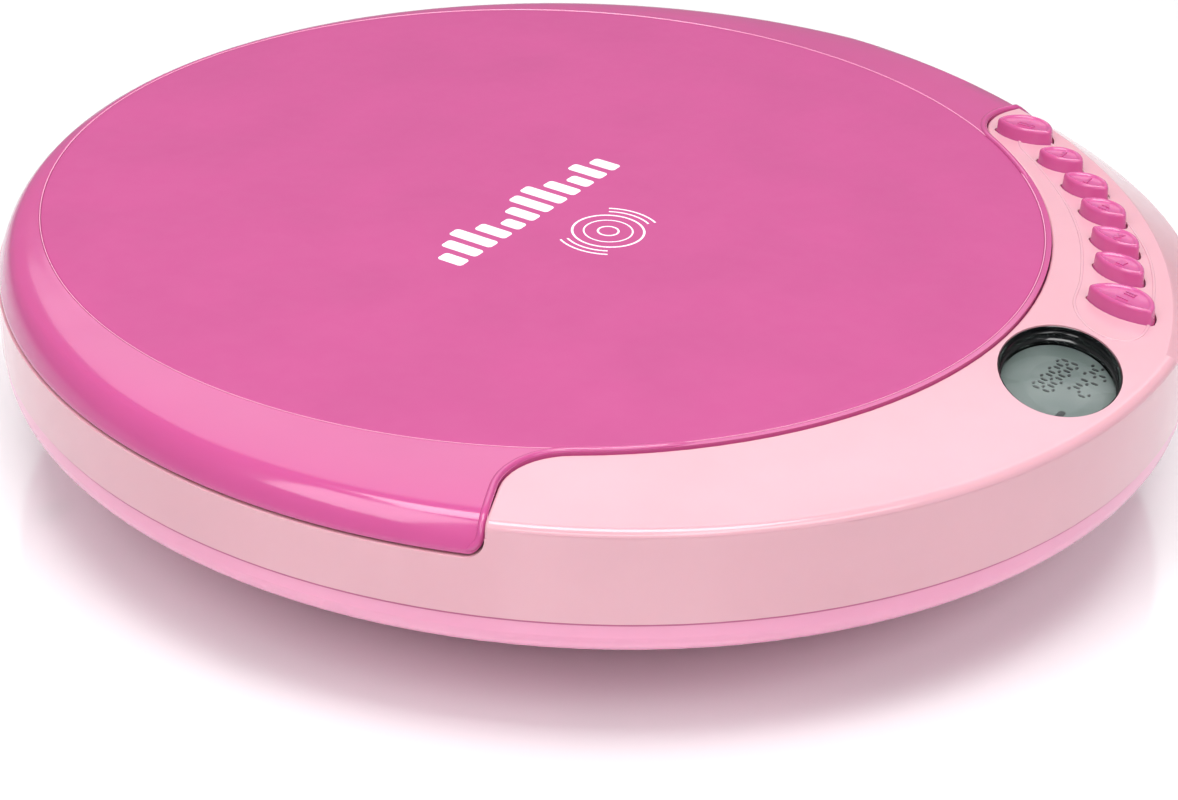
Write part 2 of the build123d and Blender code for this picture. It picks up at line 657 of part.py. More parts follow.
def power_inlet():
    top = MAIN_BOARD_Z + MAIN_BOARD_T
    body = block(58.5, 66.0, -3.6, 3.6, top, 17.7) + along_x(2.9, 65.5, CASE_R - 0.1, 0, JACK_Z)
    body = body - along_x(2.05, 60.0, 72, 0, JACK_Z) + along_x(0.8, 59.5, 69.5, 0, JACK_Z)
    return Rot(0, 0, INLET_ANGLE) * body


def volume_wheel():
    x, y = polar(VOLUME_AT, VOLUME_ANGLE)
    wheel = rod(VOLUME_R, 14.7, 16.9, x, y)
    for step in range(36):
        notch_x, notch_y = VOLUME_R * cos(step * pi / 18), VOLUME_R * sin(step * pi / 18)
        wheel -= rod(0.28, 14, 18, x + notch_x, y + notch_y)
    return wheel - rod(1.05, 14, 16.5, x, y)


def volume_control():
    """Rotary resistor under the wheel, with the post that the wheel turns on."""
    x, y = polar(VOLUME_AT, VOLUME_ANGLE)
    return rod(2.8, MAIN_BOARD_Z + MAIN_BOARD_T, 14.4, x, y) + rod(1.0, 14.0, 16.3, x, y)


def lid_switch():
    body = block(SWITCH_AT - 2.2, SWITCH_AT + 2.1, -2.2, 2.2, 17.3, RIM_Z - 1.5)
    body -= rod(1.25, 18.0, 22, SWITCH_AT)
    return Rot(0, 0, SWITCH_ANGLE) * body


def lid_switch_plunger():
    return Rot(0, 0, SWITCH_ANGLE) * rod(1.15, 18.6, RIM_Z + 0.1, SWITCH_AT)


# ---- power -------------------------------------------------------------------------------------
def battery_door():
    """Sliding door with two tongues and a ribbed grip."""
    low = FOOT_H
    door = block(-DOOR_X, DOOR_X, BAY_Y0 + 0.3, HUMP_Y1, low, 2.2)
    door += block(-28.7, 28.7, BAY_Y0 + 0.3, HUMP_Y1, 2.2, 3.0)
    for rib in range(6):
        y = 43.0 + 1.2 * rib
        door -= block(-6, 6, y, y + 0.6, low - 1, low + 0.3)
    return door


def battery_cells():
    """Two AA cells side by side, pointing opposite ways."""
    cells = Part()
    for y, way in zip(CELL_Y, (1, -1)):
        half = CELL_L / 2
        cells += along_x(CELL_R, -half + (0 if way > 0 else 1.2), half - (1.2 if way > 0 else 0), y, CELL_Z)
        tip = (half - 1.2, half) if way > 0 else (-half, -half + 1.2)
        cells += along_x(2.75, tip[0], tip[1], y, CELL_Z)
    return cells


def battery_contacts():
    """Two spring plates, two button plates."""
    plates = Part()
    for y, way in zip(CELL_Y, (1, -1)):
        for side in (-1, 1):
            x = side * (BAY_X - 0.35)
            plate = block(x - 0.25, x + 0.25, y - 5.5, y + 5.5, CELL_Z - 5.5, CELL_Z + 5.5)
            if side == way:
                x0, x1 = sorted((side * (BAY_X - 0.5), side * (CELL_L / 2 + 0.02)))
                plate += along_x(2.4, x0, x1, y, CELL_Z)
            plates += plate
    return plates


def battery_springs():
    """Coil springs at the cells' flat ends."""
    springs = Part()
    for y, way in zip(CELL_Y, (1, -1)):
        spring = Rotation(0, -90 * way, 0) * coil(3.2, 0.6, 1.1, 2.5)
        springs += Pos(-way * (CELL_L / 2 + 0.06), y, CELL_Z) * spring
    return springs


# ---- disc mechanism ----------------------------------------------------------------------------
def mech_chassis():
    """Plate under the well floor with rod holders, motor bracket and gear post."""
    high = CHASSIS_Z + CHASSIS_T
    plate = block(-31, 31, 5.0, 16.9, CHASSIS_Z, high)
    plate += block(-31, 31, -44, -34, CHASSIS_Z, high)
    plate += block(-24, 24, -53, 16.9, CHASSIS_Z, high) + block(-20.4, 20.4, -62, -50, CHASSIS_Z, high)
    plate += block(-43, -20, -31, -17, CHASSIS_Z, high)
    plate -= block(-9.6, 9.6, -59.0, -10.0, CHASSIS_Z - 1, high + 1)
    plate -= rod(3.6, CHASSIS_Z - 1, high + 1, *SPINDLE)
    for side in (-1, 1):
        x = side * ROD_X
        for y0, y1 in ((-61.8, -59.4), (-6.4, -4.0)):
            plate += block(x - 2.2, x + 2.2, y0, y1, 12.0, CHASSIS_Z)
        plate -= along_y(ROD_R + 0.02, -61.0, -4.6, x, ROD_Z)
        for y in MOUNT_Y:
            plate -= rod(2.2, CHASSIS_Z - 1, high + 1, side * MOUNT_X, y)
    motor_x = RACK_X - (GEAR_TEETH + PINION_TEETH) * MODULE / 2 - GEAR_TEETH * MODULE / 2
    plate += block(-43, -42, GEAR_Y - 7, GEAR_Y + 7, 11.2, CHASSIS_Z)
    plate += block(-43, -32.8, GEAR_Y - 5, GEAR_Y + 5, 11.2, 12.2)
    plate -= rod(1.6, 10, 13, motor_x, GEAR_Y)
    gear_x = RACK_X - GEAR_TEETH * MODULE / 2
    return plate + rod(0.8, GEAR_Z - 0.6, CHASSIS_Z + 0.1, gear_x, GEAR_Y)


def mech_dampers():
    """Rubber grommets between the chassis and the case posts."""
    high = CHASSIS_Z + CHASSIS_T
    grommets = Part()
    for x in (-MOUNT_X, MOUNT_X):
        for y in MOUNT_Y:
            grommet = rod(3.3, CHASSIS_Z - 1, CHASSIS_Z, x, y) + rod(2.15, CHASSIS_Z, high, x, y)
            grommet += rod(3.3, high, high + 0.7, x, y)
            grommets += grommet - rod(0.95, CHASSIS_Z - 2, CHASSIS_Z + 4, x, y)
    return grommets


def mech_screws():
    screws = Part()
    seat = CHASSIS_Z + CHASSIS_T + 0.7
    for x in (-MOUNT_X, MOUNT_X):
        for y in MOUNT_Y:
            screws += rod(0.8, 9.0, seat, x, y) + rod(1.9, seat, seat + 0.8, x, y)
    return screws


def spindle_motor():
    motor = rod(8.4, 9.4, CHASSIS_Z, *SPINDLE) + rod(3.4, CHASSIS_Z, CHASSIS_Z + 1.2, *SPINDLE)
    motor = motor - rod(1.0, 9, 20, *SPINDLE)
    return motor - tube(8.5, 8.0, 13.0, 13.5, *SPINDLE)


def spindle_shaft():
    return rod(0.95, 9.8, 21.4, *SPINDLE)


def turntable():
    """Platter, boss and hub that carry the disc."""
    table = rod(14.5, SEAT_Z - 1.1, SEAT_Z - 0.3, *SPINDLE) + rod(3.0, 18.2, SEAT_Z, *SPINDLE)
    hub = rod(HUB_R, SEAT_Z - 0.5, 24.4, *SPINDLE)
    hub = fillet(edges_at(hub, 24.4), 0.6)
    table += hub
    for x, y, z in hub_ball_places():
        table -= Pos(x, y, z) * Sphere(1.05)
    return table - rod(0.95, 17, 21.4, *SPINDLE)


def hub_ball_places():
    return [(6.95 * cos(radians(a)), WELL_Y + 6.95 * sin(radians(a)), 23.75) for a in (90, 210, 330)]


def hub_balls():
    balls = Part()
    for x, y, z in hub_ball_places():
        balls += Pos(x, y, z) * Sphere(1.0)
    return balls


def turntable_pad():
    return tube(14.2, 9.0, SEAT_Z - 0.3, SEAT_Z, *SPINDLE)


def guide_rods():
    rods = Part()
    for x in (-ROD_X, ROD_X):
        rods += along_y(ROD_R, -60.9, -4.7, x, ROD_Z)
    return rods


def pickup_carriage():
    """Sled that rides on both rods and carries the laser block."""
    y0, y1 = LENS_Y - 7.5, LENS_Y + 7.5
    sled = block(-15.5, 15.5, y0 + 1.5, y1 - 1.5, 11.6, 15.6)
    for x in (-ROD_X, ROD_X):
        sled += block(x - 2.5, x + 2.5, y0, y1, 11.5, 15.6)
    sled += block(-8, 8, LENS_Y - 4.5, LENS_Y + 4.5, 15.6, 19.1)
    sled = fillet(sled.edges().filter_by(Axis.Z).filter_by_position(Axis.X, -8.1, 8.1), 0.8)
    for x in (-ROD_X, ROD_X):
        sled -= along_y(ROD_R + 0.05, -40, 5, x, ROD_Z)
    return sled


def rack():
    """Toothed strip on the sled, teeth towards the drive gear."""
    pitch = pi * MODULE
    low, high = -26.6, 12.6
    strip = block(RACK_X + 1.15 * MODULE, -20.5, low, high, GEAR_Z, GEAR_Z + GEAR_T)
    root, tip = RACK_X + 1.3 * MODULE, RACK_X - 0.8 * MODULE
    half_root = pitch / 4 + 1.3 * MODULE * tan(radians(20)) - 0.05
    half_tip = pitch / 4 - 0.8 * MODULE * tan(radians(20)) - 0.05
    count = int((high - low) / pitch)
    first = GEAR_Y + pitch / 2 + pitch * (round((low - GEAR_Y) / pitch) + 1)
    for index in range(count - 1):
        y = first + pitch * index
        if y + half_root > high:
            break
        tooth = make_face(Polyline((root, y - half_root), (tip, y - half_tip), (tip, y + half_tip),
                                   (root, y + half_root), (root, y - half_root)))
        strip += slab(tooth, GEAR_Z, GEAR_Z + GEAR_T)
    return strip


def lens_holder():
    """Sprung lens block above the sled."""
    holder = block(-3.5, 3.5, LENS_Y - 3.2, LENS_Y + 3.2, 19.7, 20.35)
    holder = fillet(holder.edges().filter_by(Axis.Z), 1.0)
    return holder - rod(2.3, 19, 21, 0, LENS_Y)


def objective_lens():
    dome = Pos(0, LENS_Y, 20.2 - 5.0) * Sphere(5.55)
    return rod(2.25, 19.75, 20.3, 0, LENS_Y) + (dome & rod(2.25, 20.2, 21.5, 0, LENS_Y))


def gear_outline(teeth, phase):
    """Involute gear outline with a little backlash."""
    pitch_r = MODULE * teeth / 2
    base_r = pitch_r * cos(radians(20))
    tip_r, root_r = pitch_r + 0.8 * MODULE, pitch_r - 1.15 * MODULE
    involute_20 = tan(radians(20)) - radians(20)
    half_pitch_angle = pi / (2 * teeth) - 0.05 / pitch_r
    flank = []
    for step in range(6):
        radius = max(base_r, root_r) + (tip_r - max(base_r, root_r)) * step / 5
        pressure = sqrt(max(0.0, (radius / base_r) ** 2 - 1))
        half = half_pitch_angle + involute_20 - (pressure - atan2(pressure, 1))
        flank.append((radius, half))
    flank.insert(0, (root_r, flank[0][1]))
    points = []
    for tooth in range(teeth):
        centre = 2 * pi * tooth / teeth + radians(phase)
        points += [(r * cos(centre - a), r * sin(centre - a)) for r, a in flank]
        points += [(r * cos(centre + a), r * sin(centre + a)) for r, a in reversed(flank)]
    return make_face(Polyline(*points, points[0]))


def sled_gear():
    x = RACK_X - GEAR_TEETH * MODULE / 2
    outline = Pos(x, GEAR_Y) * gear_outline(GEAR_TEETH, 0)
    gear = slab(outline, GEAR_Z, GEAR_Z + GEAR_T) + rod(2.0, GEAR_Z, 15.6, x, GEAR_Y)
    return gear - rod(0.85, 12, 16, x, GEAR_Y)


def motor_pinion():
    x = RACK_X - GEAR_TEETH * MODULE - PINION_TEETH * MODULE / 2
    pinion = Pos(x, GEAR_Y) * gear_outline(PINION_TEETH, 180 / PINION_TEETH)
    return slab(pinion, GEAR_Z, GEAR_Z + GEAR_T) + rod(0.5, 6.0, GEAR_Z + GEAR_T + 0.4, x, GEAR_Y)


def sled_motor():
    x = RACK_X - GEAR_TEETH * MODULE - PINION_TEETH * MODULE / 2
    motor = rod(5.0, 4.6, 11.2, x, GEAR_Y) & block(x - 4, x + 5, GEAR_Y - 6, GEAR_Y + 6, 0, 20)
    return motor + rod(1.5, 11.0, 12.0, x, GEAR_Y) - rod(0.55, 5.5, 13, x, GEAR_Y)


def case_screws():
    screws = Part()
    for angle in SCREW_ANGLES:
        x, y = polar(SCREW_AT, angle)
        head = rod(2.2, 11.0, 12.4, x, y) - block(x - 1.4, x + 1.4, y - 0.25, y + 0.25, 10.5, 11.6)
        head -= block(x - 0.25, x + 0.25, y - 1.4, y + 1.4, 10.5, 11.6)
        screws += head + rod(1.2, 12.4, LEDGE_Z + 0.6, x, y)
    return screws


# ---- assembly ----------------------------------------------------------------------------------
PIECES = {
    "lower_case": lower_case, "upper_case": upper_case, "disc_deck": disc_deck,
    "rubber_feet": rubber_feet, "case_screws": case_screws,
    "lid_shell": lid_shell, "lid_liner": lid_liner, "lid_bumpers": lid_bumpers,
    "lid_inlay": lambda: slab(well_circle(INLAY_R), TOP_Z - INLAY_T, TOP_Z),
    "hinge_pins": hinge_pins, "hinge_springs": hinge_springs,
    "display_bezel": display_bezel, "display_window": display_window,
    "lcd_panel": lcd_panel, "lcd_frame": lcd_frame,
    "key_board": key_board, "key_switches": key_switches,
    "latch_slider": latch_slider, "latch_spring": latch_spring,
    "main_board": main_board, "board_components": board_components,
    "headphone_jack": headphone_jack, "power_inlet": power_inlet,
    "volume_wheel": volume_wheel, "volume_control": volume_control,
    "lid_switch": lid_switch, "lid_switch_plunger": lid_switch_plunger,
    "battery_door": battery_door, "battery_cells": battery_cells,
    "battery_contacts": battery_contacts, "battery_springs": battery_springs,
    "mech_chassis": mech_chassis, "mech_dampers": mech_dampers, "mech_screws": mech_screws,
    "spindle_motor": spindle_motor, "spindle_shaft": spindle_shaft,
    "turntable": turntable, "turntable_pad": turntable_pad, "hub_balls": hub_balls,
    "guide_rods": guide_rods, "pickup_carriage": pickup_carriage, "carriage_rack": rack,
    "lens_holder": lens_holder, "objective_lens": objective_lens,
    "sled_gear": sled_gear, "motor_pinion": motor_pinion, "sled_motor": sled_motor,
}


def main():
    os.makedirs("parts", exist_ok=True)
    for name, make in PIECES.items():
        save(name, make())
    for name in KEYS:
        save(name, key(name))


if __name__ == "__main__":
    main()
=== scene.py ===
from math import atan2, cos, hypot, pi, radians, sin, sqrt, tan

import bmesh
import bpy
from mathutils import Matrix, Vector


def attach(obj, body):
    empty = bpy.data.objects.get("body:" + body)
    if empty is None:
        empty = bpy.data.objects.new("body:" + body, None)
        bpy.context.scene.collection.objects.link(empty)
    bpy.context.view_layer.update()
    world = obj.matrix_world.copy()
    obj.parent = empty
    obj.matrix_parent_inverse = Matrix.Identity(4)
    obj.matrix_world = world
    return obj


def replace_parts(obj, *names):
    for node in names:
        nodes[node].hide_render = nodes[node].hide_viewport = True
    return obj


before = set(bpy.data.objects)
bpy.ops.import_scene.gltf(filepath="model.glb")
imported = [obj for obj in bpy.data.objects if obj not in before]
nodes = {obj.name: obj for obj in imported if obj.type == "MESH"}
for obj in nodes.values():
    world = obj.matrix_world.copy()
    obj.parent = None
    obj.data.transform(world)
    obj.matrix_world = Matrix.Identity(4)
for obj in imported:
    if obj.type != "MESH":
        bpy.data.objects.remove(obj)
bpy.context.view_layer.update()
MM = 0.001

# Sizes below are in millimetres, in the frame of the CAD part: +Z up, display at -Y, hinge at +Y.
# case: outer radius, disc well's radius and centre, height of the control deck and of the lid
CASE_R, WELL_R, WELL_Y = 71.0, 60.8, 8.0
DECK_Z, LID_TOP = 26.7, 27.0
DECK_EDGE_R = 1.0
# deck: half angle of its ends from the front, radius of its inner corners, a radius well outside the case
DECK_END, CORNER_R, BEYOND = 66.3, 8.0, 80.0
# lid: rounding of its lower corners, lower edge, gap to the deck, radius of the lips at its ends
FOOT_R, SKIRT_Z, LID_GAP, LIP_R = 2.2, 22.65, 0.1, 0.42
HINGE_Y, HINGE_Z, ARM_X, ARM_HALF = 66.0, 18.0, 12.0, 1.8
# the top falls away beside the keys: circle where it starts, its centre, slope, rounding, top and foot
FALL_R, FALL_X, FALL_Y = 80.3, -16.6 * cos(radians(-35)), -16.6 * sin(radians(-35))
FALL_SLOPE, FALL_EDGE_R, FALL_FOOT_Z = radians(33.0), 3.0, 14.0
DISPLAY_X, DISPLAY_Y, DISPLAY_TILT = -2.3, -61.1, radians(26.4)
CRYSTAL_Z = 24.24
KEY_TIP_R = 58.3
SIGN_LOW, SIGN_HIGH = 28.1, 28.3
# lid print: low face just inside the disc, high face just proud of it
PRINT_LOW, PRINT_HIGH = LID_TOP - 0.02, LID_TOP + 0.008
SEAM_LOW, SEAM_HIGH = 15.5, 15.95


# ---- camera --------------------------------------------------------------------------------------
CAMERA_AT, CAMERA_TARGET = Vector((-260.4, -162.7, 174.9)) * MM, Vector((-17.45, -10.27, 12.74)) * MM
CAMERA_LENS, CAMERA_ROLL = 87.1, radians(2.082)


def aim(obj, target, roll=0.0):
    """Turn a camera or lamp towards a point."""
    direction = Vector(target) - obj.location
    turn = direction.to_track_quat("-Z", "Y").to_matrix().to_4x4()
    obj.matrix_world = Matrix.Translation(obj.location) @ turn @ Matrix.Rotation(roll, 4, "Z")


camera = bpy.data.objects.new("camera", bpy.data.cameras.new("camera"))
bpy.context.scene.collection.objects.link(camera)
camera.location = CAMERA_AT
camera.data.lens = CAMERA_LENS
camera.data.sensor_width = 36.0
camera.data.clip_start, camera.data.clip_end = 0.01, 50.0
bpy.context.view_layer.update()
aim(camera, CAMERA_TARGET, CAMERA_ROLL)
bpy.context.scene.camera = camera
bpy.context.scene.view_settings.view_transform = "Standard"


# ---- materials -----------------------------------------------------------------------------------
def linear(r, g, b):
    """Linear colour, by the sRGB curve, from eight-bit display values."""
    shown = [c / 255 for c in (r, g, b)]
    return tuple(((c + 0.055) / 1.055) ** 2.4 if c > 0.04 else c / 12.92 for c in shown) + (1.0,)


class Shader:
    """A node material with one Principled shader and helpers for its procedural inputs."""

    def __init__(self, name, colour, rough, **sockets):
        self.material = bpy.data.materials.new(name)
        self.material.use_nodes = True
        self.tree = self.material.node_tree
        self.main = self.tree.nodes["Principled BSDF"]
        self.place = self.add("ShaderNodeTexCoord").outputs["Object"]
        self.main.inputs["Base Color"].default_value = colour
        self.main.inputs["Roughness"].default_value = rough
        for key, value in sockets.items():
            self.main.inputs[key.replace("_", " ")].default_value = value
        self.colour, self.rough, self.normal = colour, rough, None

    def add(self, kind, **settings):
        node = self.tree.nodes.new(kind)
        for key, value in settings.items():
            setattr(node, key, value)
        return node

    def link(self, source, target):
        self.tree.links.new(source, target)

    def noise(self, scale, detail=3.0, stretch=None):
        texture = self.add("ShaderNodeTexNoise")
        texture.inputs["Scale"].default_value = scale
        texture.inputs["Detail"].default_value = detail
        if stretch:
            mapping = self.add("ShaderNodeMapping")
            mapping.inputs["Scale"].default_value = stretch
            self.link(self.place, mapping.inputs["Vector"])
            self.link(mapping.outputs["Vector"], texture.inputs["Vector"])
        else:
            self.link(self.place, texture.inputs["Vector"])
        return texture.outputs["Fac"]

    def fit(self, value, low, high, start=0.35, stop=0.65):
        ranged = self.add("ShaderNodeMapRange")
        for key, number in (("From Min", start), ("From Max", stop), ("To Min", low), ("To Max", high)):
            ranged.inputs[key].default_value = number
        self.link(value, ranged.inputs["Value"])
        return ranged.outputs["Result"]

    def mottle(self, scale, share, other=None, detail=4.0):
        """Base colour that drifts between the given colour and a slightly darker or other one."""
        if other is None:
            other = tuple(c * (1 - share) for c in self.colour[:3]) + (1.0,)
        mix = self.add("ShaderNodeMix", data_type="RGBA")
        self.link(self.fit(self.noise(scale, detail), 0.0, 1.0), mix.inputs["Factor"])
        mix.inputs["A"].default_value = self.colour
        mix.inputs["B"].default_value = other
        self.link(mix.outputs["Result"], self.main.inputs["Base Color"])
        return self

    def smudge(self, scale, spread, detail=4.0, stretch=None):
        """Roughness that varies as on handled plastic or drawn metal."""
        value = self.fit(self.noise(scale, detail, stretch), self.rough, self.rough + spread)
        self.link(value, self.main.inputs["Roughness"])
        return self

    def bump(self, scale, depth_mm, strength=1.0, detail=2.0, stretch=None):
        """Surface relief; later calls stack on earlier ones."""
        node = self.add("ShaderNodeBump")
        node.inputs["Strength"].default_value = strength
        node.inputs["Distance"].default_value = depth_mm * MM
        self.link(self.noise(scale, detail, stretch), node.inputs["Height"])
        if self.normal:
            self.link(self.normal, node.inputs["Normal"])
        self.normal = node.outputs["Normal"]
        self.link(self.normal, self.main.inputs["Normal"])
        return self


def moulded(name, colour, rough, coat=0.35, skin=0.004, **more):
    """Glossy moulding: faint colour drift, handling marks, a slight unevenness and fine grain."""
    shader = Shader(name, colour, rough, Coat_Weight=coat, Coat_Roughness=0.06, **more)
    shader.mottle(55.0, 0.045).smudge(140.0, 0.07)
    return shader.bump(210.0, skin).bump(5200.0, 0.0006).material


def satin(name, colour, rough, grain, depth, **more):
    """Plain surface with an even grain of the given scale and depth."""
    shader = Shader(name, colour, rough, **more)
    shader.mottle(70.0, 0.05).smudge(300.0, 0.08)
    return shader.bump(grain, depth).material


def metal(name, colour, rough, stretch=(1.0, 1.0, 1.0)):
    """Bare or plated metal, with its marks drawn out along the stretched directions."""
    shader = Shader(name, colour, rough, Metallic=1.0)
    shader.mottle(300.0, 0.12).smudge(900.0, 0.14, stretch=stretch)
    return shader.bump(1500.0, 0.002, stretch=stretch).material


def board(name):
    """Green solder mask with faint copper runs below it."""
    shader = Shader(name, linear(20, 92, 52), 0.32)
    brick = shader.add("ShaderNodeTexBrick")
    brick.inputs["Scale"].default_value = 420.0
    brick.inputs["Mortar Size"].default_value = 0.09
    brick.inputs["Color1"].default_value = linear(20, 88, 50)
    brick.inputs["Color2"].default_value = linear(24, 98, 56)
    brick.inputs["Mortar"].default_value = linear(46, 128, 70)
    shader.link(shader.place, brick.inputs["Vector"])
    shader.link(brick.outputs["Color"], shader.main.inputs["Base Color"])
    return shader.smudge(200.0, 0.1).bump(700.0, 0.01).material


PALE = linear(218, 164, 176)
PALE_SIDE = linear(234, 155, 188)
DEEP = linear(192, 78, 138)
FLAT = linear(184, 72, 132)
KEY = linear(198, 86, 144)

look = {
    "case": moulded("case_plastic", PALE_SIDE, 0.16, Subsurface_Weight=0.08, Subsurface_Scale=0.002),
    "deck": moulded("deck_plastic", PALE, 0.14, Subsurface_Weight=0.08, Subsurface_Scale=0.002),
    "lid": moulded("lid_plastic", DEEP, 0.12, Subsurface_Weight=0.06, Subsurface_Scale=0.002),
    "flat": satin("lid_inlay_satin", FLAT, 0.38, 9000.0, 0.003, Specular_IOR_Level=0.35),
    # painted highlight: lighter pink for the thin ring round the lid's disc, standing in for the bright line
    # on its edge
    "edge": moulded("painted_edge_highlight", linear(240, 158, 196), 0.2),
    "liner": satin("liner_plastic", linear(214, 92, 150), 0.45, 3500.0, 0.01),
    "key": moulded("key_plastic", KEY, 0.2, coat=0.3, Subsurface_Weight=0.12, Subsurface_Scale=0.0015),
    "print": satin("print_white", linear(250, 240, 245), 0.4, 7000.0, 0.002),
    "rubber": satin("black_rubber", linear(26, 26, 27), 0.62, 2600.0, 0.02),
    "black": moulded("bezel_black", linear(6, 7, 9), 0.08, coat=0.2, skin=0.002),
    # painted shade: darker pink for the ring in the gap between the case halves, which are both of the case's
    # own plastic
    "seam": moulded("painted_seam_shade", linear(190, 96, 138), 0.3, coat=0.1),
    "dark": satin("dark_moulding", linear(30, 30, 32), 0.5, 2600.0, 0.015),
    "white": satin("natural_acetal", linear(232, 228, 218), 0.35, 1800.0, 0.006, Subsurface_Weight=0.1),
    "steel": metal("ground_steel", linear(196, 197, 200), 0.2, (1.0, 12.0, 1.0)),
    "plate": metal("nickel_plate", linear(205, 203, 196), 0.22),
    "screw": metal("black_zinc", linear(92, 92, 96), 0.3),
    "ball": metal("ball_steel", linear(220, 220, 222), 0.08),
    "cast": metal("cast_carriage", linear(150, 152, 155), 0.42),
    "board": board("board_green"),
    "cell": moulded("cell_jacket", linear(62, 72, 92), 0.3),
}


def window_acrylic():
    shader = Shader("window_acrylic", (0.97, 0.99, 1.0, 1.0), 0.0, Transmission_Weight=1.0, IOR=1.12)
    return shader.smudge(90.0, 0.004).material


def coated_lens():
    shader = Shader("lens_coating", (0.55, 0.6, 0.95, 1.0), 0.02, Transmission_Weight=0.8, IOR=1.5)
    return shader.bump(900.0, 0.0005).material


def crystal_panel():
    """Grey-green reflector behind the display's figures."""
    shader = Shader("crystal_panel", linear(120, 128, 124), 0.3, Specular_IOR_Level=0.4)
    shader.mottle(160.0, 0.0, linear(102, 112, 108)).smudge(240.0, 0.06)
    return shader.bump(8000.0, 0.0008).material


def crystal_segment():
    shader = Shader("crystal_segment", linear(22, 26, 28), 0.3)
    return shader.mottle(600.0, 0.15).bump(6000.0, 0.0006).material


look.update(glass=window_acrylic(), lens=coated_lens(), crystal=crystal_panel(), segment=crystal_segment())

CAD_LOOKS = {
    "case": "lower_case battery_door",
    "deck": "upper_case",
    "liner": "lid_liner disc_deck",
    "flat": "lid_inlay",
    "lid": "lid_shell volume_wheel",
    "rubber": "rubber_feet lid_bumpers mech_dampers turntable_pad",
    "screw": "case_screws mech_screws",
    "steel": "hinge_pins hinge_springs latch_spring spindle_shaft guide_rods",
    "black": "display_bezel lcd_frame turntable",
    "glass": "display_window",
    "crystal": "lcd_panel",
    "board": "key_board main_board",
    "dark": "key_switches board_components headphone_jack power_inlet volume_control lid_switch mech_chassis "
            "lens_holder",
    "white": "latch_slider lid_switch_plunger carriage_rack sled_gear motor_pinion",
    "cell": "battery_cells",
    "plate": "battery_contacts battery_springs spindle_motor sled_motor",
    "ball": "hub_balls",
    "cast": "pickup_carriage",
    "lens": "objective_lens",
    "key": "open_key program_key mode_key forward_key back_key stop_key play_key",
}
for key, names in CAD_LOOKS.items():
    for name in names.split():
        nodes[name].data.materials.clear()
        nodes[name].data.materials.append(look[key])


# ---- mesh helpers --------------------------------------------------------------------------------
def piece(name, points, faces, material, body, smooth=True):
    """New mesh from points in millimetres."""
    mesh = bpy.data.meshes.new(name)
    mesh.from_pydata([tuple(c * MM for c in p) for p in points], [], faces)
    fixed = bmesh.new()
    fixed.from_mesh(mesh)
    bmesh.ops.recalc_face_normals(fixed, faces=fixed.faces)
    fixed.to_mesh(mesh)
    fixed.free()
    obj = bpy.data.objects.new(name, mesh)
    bpy.context.scene.collection.objects.link(obj)
    mesh.materials.append(look[material])
    if smooth:
        shade(obj)
    if body:
        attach(obj, body)
    return obj


def shade(obj, angle=35.0):
    """Smooth shading with sharp edges above an angle."""
    obj.data.shade_smooth()
    obj.data.set_sharp_from_angle(angle=radians(angle))


def rings(name, loops, material, body, closed=False, caps=True):
    """Skin over loops of equal length; a closed skin joins the last loop to the first."""
    count = len(loops[0])
    points = [p for loop in loops for p in loop]
    faces = []
    pairs = len(loops) if closed else len(loops) - 1
    for i in range(pairs):
        a, b = i * count, (i + 1) % len(loops) * count
        for j in range(count):
            k = (j + 1) % count
            faces.append((a + j, a + k, b + k, b + j))
    if caps and not closed:
        faces.append(tuple(reversed(range(count))))
        faces.append(tuple(range(len(points) - count, len(points))))
    return piece(name, points, faces, material, body)


def turns(count):
    """Angles evenly round a full circle."""
    return [2 * pi * k / count for k in range(count)]


def circle(radius, z, y=0.0, x=0.0, count=360):
    return [(x + radius * cos(a), y + radius * sin(a), z) for a in turns(count)]


def side_circle(x, radius, y, z, count):
    """Upright circle across the X direction."""
    return [(x, y + radius * cos(a), z + radius * sin(a)) for a in turns(count)]


def prism(name, outline, low, high, material="lid", body=None):
    """Upright prism over a plan outline."""
    loops = [[(x, y, z) for x, y in outline] for z in (low, high)]
    return rings(name, loops, material, body)


def apply(obj):
    """Replace an object's mesh by what its modifiers make of it."""
    graph = bpy.context.evaluated_depsgraph_get()
    mesh = bpy.data.meshes.new_from_object(obj.evaluated_get(graph))
    obj.modifiers.clear()
    obj.data = mesh


def combine(obj, tool, operation="DIFFERENCE"):
    """Boolean with a tool object, which is used up."""
    step = obj.modifiers.new("combine", "BOOLEAN")
    step.operation, step.object, step.solver = operation, tool, "EXACT"
    apply(obj)
    bpy.data.objects.remove(tool)


def round_edges(obj, width_mm):
    """Round every edge that turns by more than 40 degrees."""
    step = obj.modifiers.new("round", "BEVEL")
    step.width, step.segments = width_mm * MM, 2
    step.limit_method, step.angle_limit = "ANGLE", radians(40.0)
    apply(obj)
    shade(obj)


# ---- outline of the control deck -----------------------------------------------------------------
def end_directions():
    """Directions outward along the deck's left end line, and across it into the deck."""
    angle = radians(-90 - DECK_END)
    return (cos(angle), sin(angle)), (-sin(angle), cos(angle))


